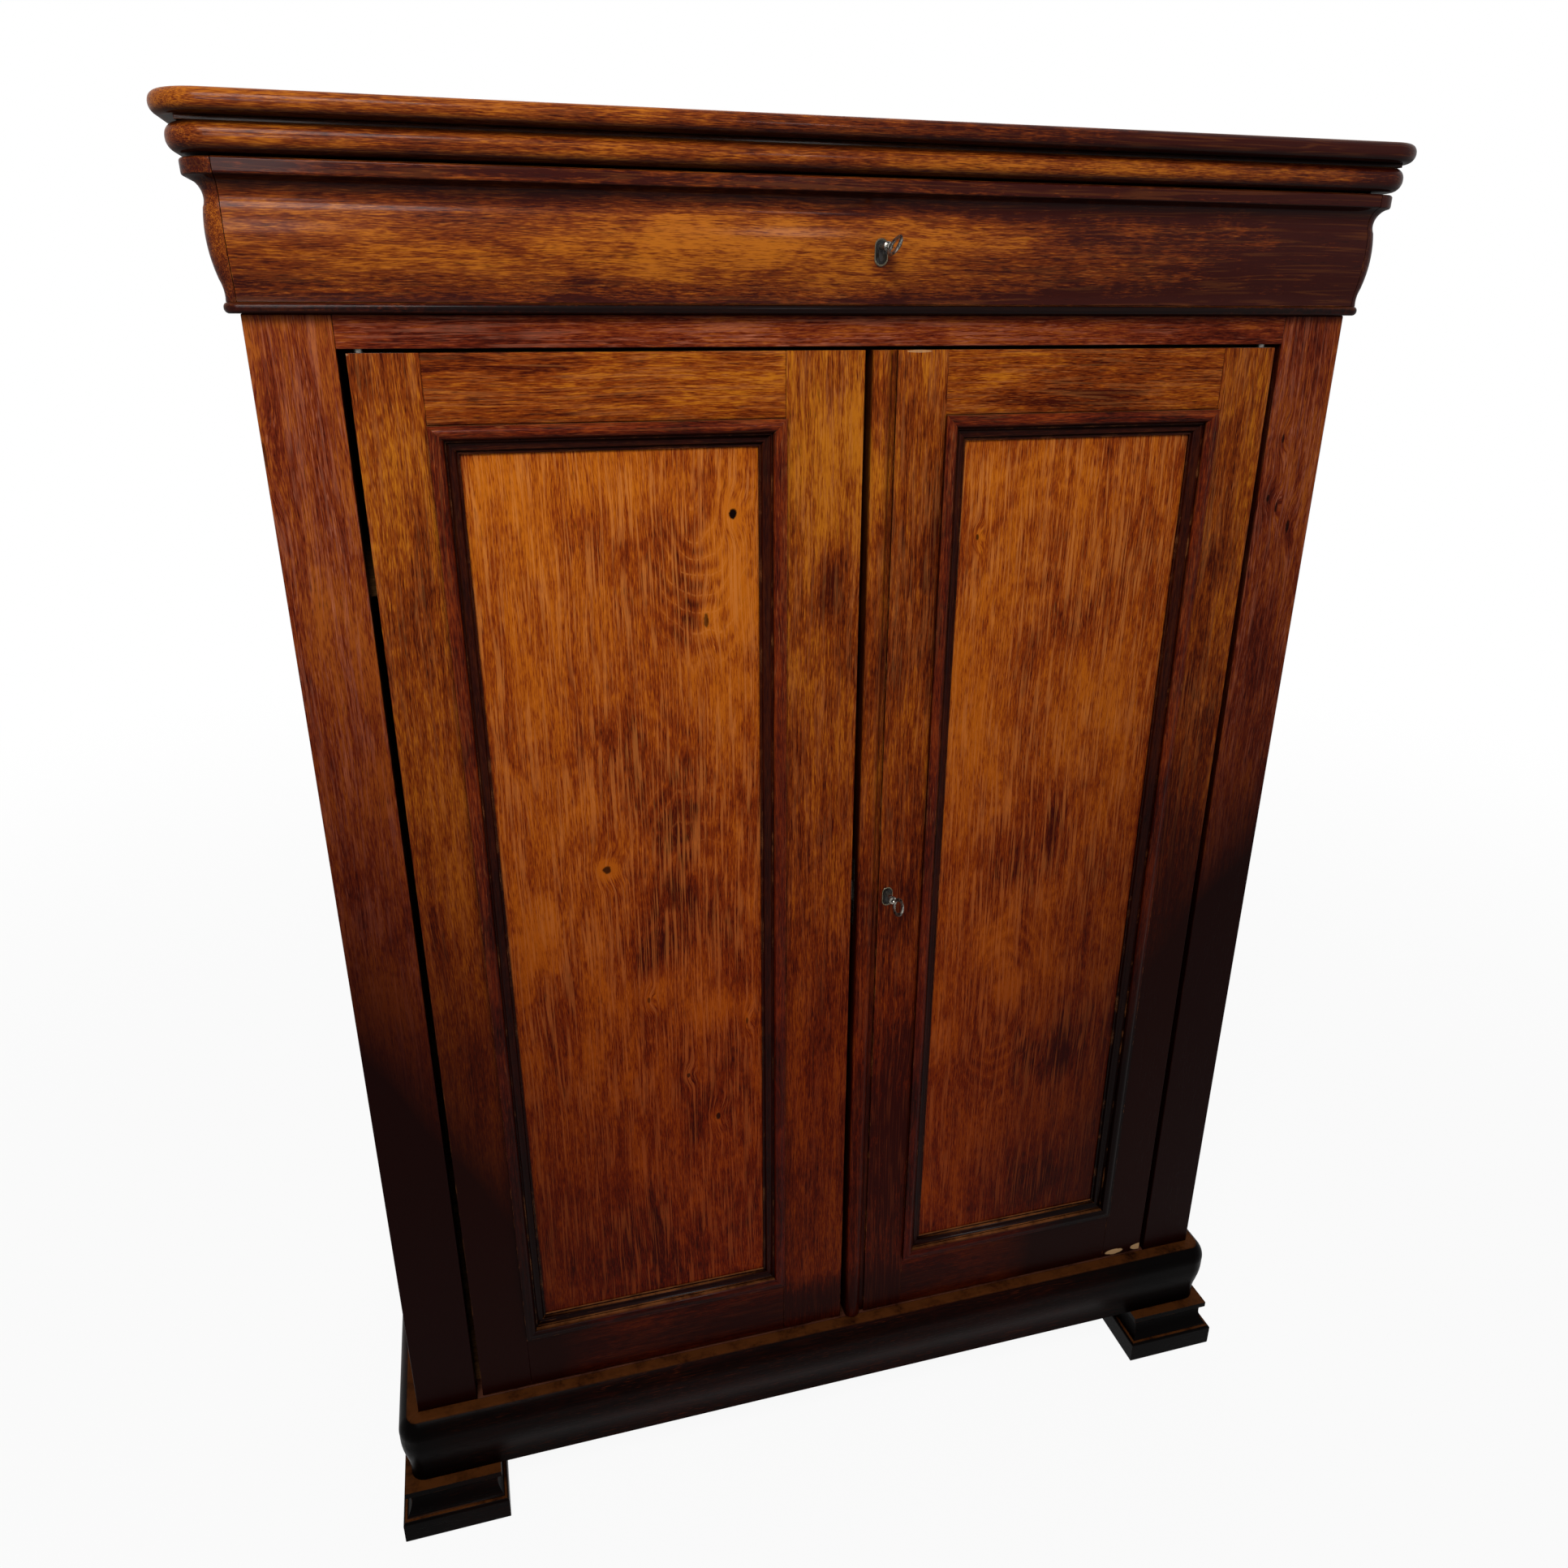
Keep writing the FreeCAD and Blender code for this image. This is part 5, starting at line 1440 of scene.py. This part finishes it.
@dataclass
class Studio:
    """Floor, lamps, white surroundings and the camera; angles in degrees."""

    lens: float = 26.554
    sensor: float = 36.0
    near: float = 0.02
    camera_place: Point = (-0.3898, -1.3607, 1.4511)
    yaw: float = 15.5455
    pitch: float = -22.1425
    roll: float = 0.1246
    floor_reach: float = 14.0
    floor_cells: int = 8
    floor: FloorFinish = FloorFinish("floor_white", (0.66, 0.66, 0.66, 1.0))
    world_light: float = 0.2
    lamps: tuple[Lamp, ...] = (
        Lamp("key_lamp", (-0.75, -1.75, 2.7), (-0.20, -0.2, 1.15), 0.9, 38.0),
        Lamp("window_lamp", (-0.70, -1.50, 1.75), (-0.50, -0.25, 1.50), 0.28, 2.2),
        Lamp("room_lamp", (0.32, -1.60, 1.85), (-0.05, -0.25, 1.40), 0.2, 1.4),
        Lamp("fill_lamp", (2.4, -2.6, 1.8), (0.1, 0.0, 0.9), 2.4, 4.0),
        Lamp("back_lamp", (0.6, 2.8, 2.6), (0.0, 0.2, 1.0), 2.4, 30.0),
    )

    def build(self) -> None:
        """Build everything round the wardrobe."""
        self._floor()
        for lamp in self.lamps:
            lamp.hang()
        self._world()
        self._camera()
        bpy.context.scene.view_settings.view_transform = "Standard"

    def _floor(self) -> None:
        """Wide plain floor, level with the wardrobe's feet."""
        bm = bmesh.new()
        bmesh.ops.create_grid(bm, x_segments=self.floor_cells, y_segments=self.floor_cells,
                              size=self.floor_reach)
        mesh = to_mesh("floor", bm)
        mesh.materials.append(self.floor.material())
        put("floor", mesh)

    def _world(self) -> None:
        """Pale surroundings that light the wardrobe softly and look white."""
        world = bpy.data.worlds.new("surroundings")
        bpy.context.scene.world = world
        shader = Shader(world)
        soft, white = (shader.node("ShaderNodeBackground", {}, {"Color": WHITE, "Strength": light})
                       for light in (self.world_light, 1.0))
        shader.show(shader.seen(), soft, white)

    def _camera(self) -> None:
        """Camera at the photograph's place, looking down at the doors."""
        data = bpy.data.cameras.new("camera")
        data.lens = self.lens
        data.sensor_width = self.sensor
        data.clip_start = self.near
        yaw, pitch, roll = (math.radians(a) for a in (self.yaw, self.pitch, self.roll))
        forward = Vector((math.sin(yaw) * math.cos(pitch), math.cos(yaw) * math.cos(pitch),
                          math.sin(pitch)))
        level = Vector((math.cos(yaw), -math.sin(yaw), 0.0))
        upright = level.cross(forward)
        right = level * math.cos(roll) + upright * math.sin(roll)
        up = upright * math.cos(roll) - level * math.sin(roll)
        camera = put("camera", data)
        turn = Matrix((right, up, -forward)).transposed()
        camera.matrix_world = Matrix.Translation(self.camera_place) @ turn.to_4x4()
        bpy.context.scene.camera = camera


BARE_WOOD = shade(196, 156, 112)
# Mostly painted light and shade on the cornice: a lit band across the ogee, shade above and below
# it, a darker strip and darker right-hand parts; besides these, a small stain on the drawer front
# and a lighter stretch of the moulding at the right.
CORNICE_PAINTED_LIGHT_AND_TONES = (
    Patch(-0.10, 1.508, 1.05, 0.056, 0.30), Patch(0.68, 1.54, 1.10, 0.80, -0.68),
    Patch(-0.10, 1.466, 1.50, 0.03, -0.16), Patch(-0.10, 1.543, 1.50, 0.022, -0.40),
    Patch(-0.10, 1.559, 1.90, 0.016, -0.50), Patch(0.40, 1.602, 1.10, 0.034, -0.42),
    Patch(0.018, 1.494, 0.03, 0.024, -0.45), Patch(0.40, 1.579, 0.80, 0.026, 0.50),
)
DOOR_PATCHES = (
    Patch(0.070, 0.420, 0.10, 0.60, -0.45), Patch(0.440, 0.700, 0.09, 1.20, -0.30),
    Patch(-0.100, 0.210, 1.10, 0.10, -0.50), Patch(-0.440, 1.180, 0.09, 0.20, -0.30),
    Patch(-0.030, 1.300, 0.12, 0.24, 0.25), Patch(0.200, 1.370, 0.30, 0.03, -0.20),
    Patch(-0.440, 1.340, 0.06, 0.14, 0.20), Patch(-0.020, 1.180, 0.05, 0.12, -0.35),
)
# A painted shadow line along the bead under the ogee.
CORNICE_SHADOW_LINE = (Spot(0.05, 1.4545, 1.40, 0.010, 0.95, -0.3),)
FRAME_DENTS = (
    Spot(0.4982, 1.3242, 0.004, 0.012, 0.9, -0.1), Spot(0.4904, 1.2592, 0.004, 0.010, 0.9, -0.1),
    Spot(0.5030, 1.2489, 0.003, 0.012, 0.9, -0.1), Spot(0.5223, 1.2271, 0.005, 0.018, 0.9, -0.1),
    Spot(-0.5493, 1.3354, 0.006, 0.030, 0.6, 0.1),
)
DOOR_CHIPS = (
    Patch(0.4278, 0.1790, 0.030, 0.010, 0.85), Patch(0.4677, 0.1800, 0.026, 0.012, 0.85),
    Patch(-0.4780, 1.4170, 0.020, 0.003, 0.4), Patch(0.0640, 1.4170, 0.030, 0.003, 0.5),
)
WOODS = (
    WoodFinish("frame_wood", shade(54, 12, 6), shade(106, 38, 17), shade(150, 76, 24),
               shade(182, 112, 84), spots=FRAME_DENTS),
    WoodFinish("door_wood", shade(60, 15, 5), shade(124, 52, 13), shade(176, 102, 22),
               shade(180, 112, 58), patches=DOOR_PATCHES, chips=DOOR_CHIPS),
    WoodFinish("cornice_wood", shade(50, 11, 5), shade(108, 44, 11), shade(168, 94, 22),
               shade(168, 96, 40), coat=0.08, coat_roughness=0.14, line_share=0.1, gloss=0.03,
               gloom=0.1, dust=0.3, patches=CORNICE_PAINTED_LIGHT_AND_TONES, spots=CORNICE_SHADOW_LINE),
    WoodFinish("moulding_wood", shade(32, 5, 2), shade(86, 25, 8), shade(132, 54, 14),
               shade(176, 108, 60), roughness=0.30, coat=0.05, pore_share=0.3, line_share=0.1,
               gloom=0.85, dust=0.4, sunk=(-0.2300, -0.2268)),
    WoodFinish("plinth_wood", shade(10, 3, 2), shade(24, 8, 4), shade(42, 15, 7),
               shade(132, 74, 34), coat=0.0, line_share=0.05, gloss=0.02, gloom=0.6, wear=0.3,
               dust=0.32),
    WoodFinish("inside_wood", shade(60, 36, 20), shade(98, 64, 36), shade(136, 94, 56),
               shade(150, 108, 70), roughness=0.62, coat=0.0, gloom=0.1),
)
METALS = (
    MetalFinish("iron", shade(156, 150, 140), shade(10, 8, 7), shade(230, 224, 208), 0.22, 1.3),
    MetalFinish("steel", shade(150, 146, 140), shade(78, 66, 56), shade(200, 196, 188), 0.4, 0.6),
    MetalFinish("brass", shade(88, 76, 54), shade(22, 16, 10), shade(190, 178, 146), 0.28, 1.1),
    MetalFinish("black_iron", shade(30, 26, 22), shade(8, 6, 5), shade(90, 82, 72), 0.45, 1.2),
)
LEFT_HEART = Heart(-0.162, ((0.24, 0.12), (0.45, 0.08), (0.66, 0.10), (0.84, 0.07),
                            (1.00, 0.11), (1.08, 0.09), (1.32, 0.005), (1.36, 0.005)),
                   (Patch(-0.150, 1.200, 0.15, 0.26, 1.0), Patch(-0.190, 0.950, 0.16, 0.24, 0.45),
                    Patch(-0.160, 0.430, 0.26, 0.34, 0.4)))
RIGHT_HEART = Heart(0.216, ((0.25, 0.13), (0.45, 0.08), (0.63, 0.01), (0.82, 0.07),
                            (0.95, 0.10), (1.10, 0.08), (1.22, 0.11), (1.36, 0.15)),
                    (Patch(0.216, 0.630, 0.22, 0.40, 0.65), Patch(0.180, 1.230, 0.26, 0.30, 0.35)))
LEFT_KNOTS = (
    Spot(-0.1255, 1.2656, 0.009, 0.012, 1.0, 0.3),
    Spot(-0.1553, 1.1583, 0.006, 0.018, 0.75, 0.2),
    Spot(-0.2719, 0.8885, 0.011, 0.011, 0.9, 0.45),
    Spot(-0.1549, 0.5363, 0.007, 0.012, 0.9, 0.15),
    Spot(-0.1900, 0.6030, 0.005, 0.008, 0.8, 0.1),
    Spot(-0.2330, 0.7160, 0.004, 0.009, 0.7, 0.1),
    Spot(-0.1170, 0.6680, 0.004, 0.011, 0.7, 0.2),
)
LEFT_PATCHES = (
    Patch(-0.350, 1.290, 0.12, 0.12, 0.20), Patch(-0.120, 1.215, 0.07, 0.20, 0.22),
    Patch(-0.165, 1.100, 0.05, 0.12, 0.20), Patch(-0.210, 1.010, 0.16, 0.26, -0.20),
    Patch(-0.195, 0.900, 0.12, 0.22, -0.20), Patch(-0.225, 0.730, 0.08, 0.06, 0.30),
    Patch(-0.150, 0.690, 0.12, 0.07, 0.30), Patch(-0.200, 0.800, 0.14, 0.15, -0.24),
    Patch(-0.355, 0.830, 0.07, 0.14, 0.22), Patch(-0.285, 0.760, 0.05, 0.14, 0.20),
    Patch(-0.180, 0.560, 0.18, 0.22, -0.22), Patch(-0.250, 0.330, 0.28, 0.24, -0.30),
    Patch(-0.270, 1.310, 0.10, 0.10, 0.12), Patch(-0.300, 0.650, 0.10, 0.20, 0.12),
)
RIGHT_KNOTS = (
    Spot(0.1420, 1.2300, 0.004, 0.008, 0.8, 0.15),
)
RIGHT_PATCHES = (
    Patch(0.230, 0.655, 0.05, 0.06, 0.32), Patch(0.145, 0.590, 0.06, 0.09, 0.30),
    Patch(0.178, 0.735, 0.04, 0.08, 0.24), Patch(0.215, 1.290, 0.22, 0.14, 0.18),
    Patch(0.165, 1.200, 0.08, 0.18, 0.20), Patch(0.262, 1.120, 0.10, 0.08, -0.24),
    Patch(0.250, 0.870, 0.14, 0.20, -0.22), Patch(0.330, 0.980, 0.08, 0.34, 0.18),
    Patch(0.300, 0.560, 0.14, 0.20, -0.24), Patch(0.190, 0.400, 0.16, 0.16, 0.14),
    Patch(0.270, 0.330, 0.22, 0.16, -0.30), Patch(0.150, 0.990, 0.06, 0.20, 0.16),
)
PANELS = tuple(
    WoodFinish(side.value + "_panel_wood", shade(62, 15, 6), shade(130, 50, 13),
               shade(184, 98, 20), shade(204, 124, 56), pore_share=0.4, ring_share=0.04,
               line_share=0.5, gloom=0.7, heart=heart, spots=knots, patches=patches)
    for side, heart, knots, patches in (
        (Side.LEFT, LEFT_HEART, LEFT_KNOTS, LEFT_PATCHES),
        (Side.RIGHT, RIGHT_HEART, RIGHT_KNOTS, RIGHT_PATCHES)))


def main() -> None:
    """Dress the whole wardrobe in order."""
    logging.basicConfig(level=logging.INFO, format="%(name)s: %(message)s", force=True)
    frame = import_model()
    workshop = Workshop(frame)
    workshop.prepare(WOODS + METALS + (DarkFinish("keyhole_dark"),) + PANELS)
    for assembly in (Carcass(workshop), Base(workshop), Cornice(workshop), Drawer(workshop),
                     Door(workshop, Side.LEFT), Door(workshop, Side.RIGHT),
                     LockAndBolts(workshop)):
        assembly.build()
    Studio().build()


if __name__ == "__main__":
    main()
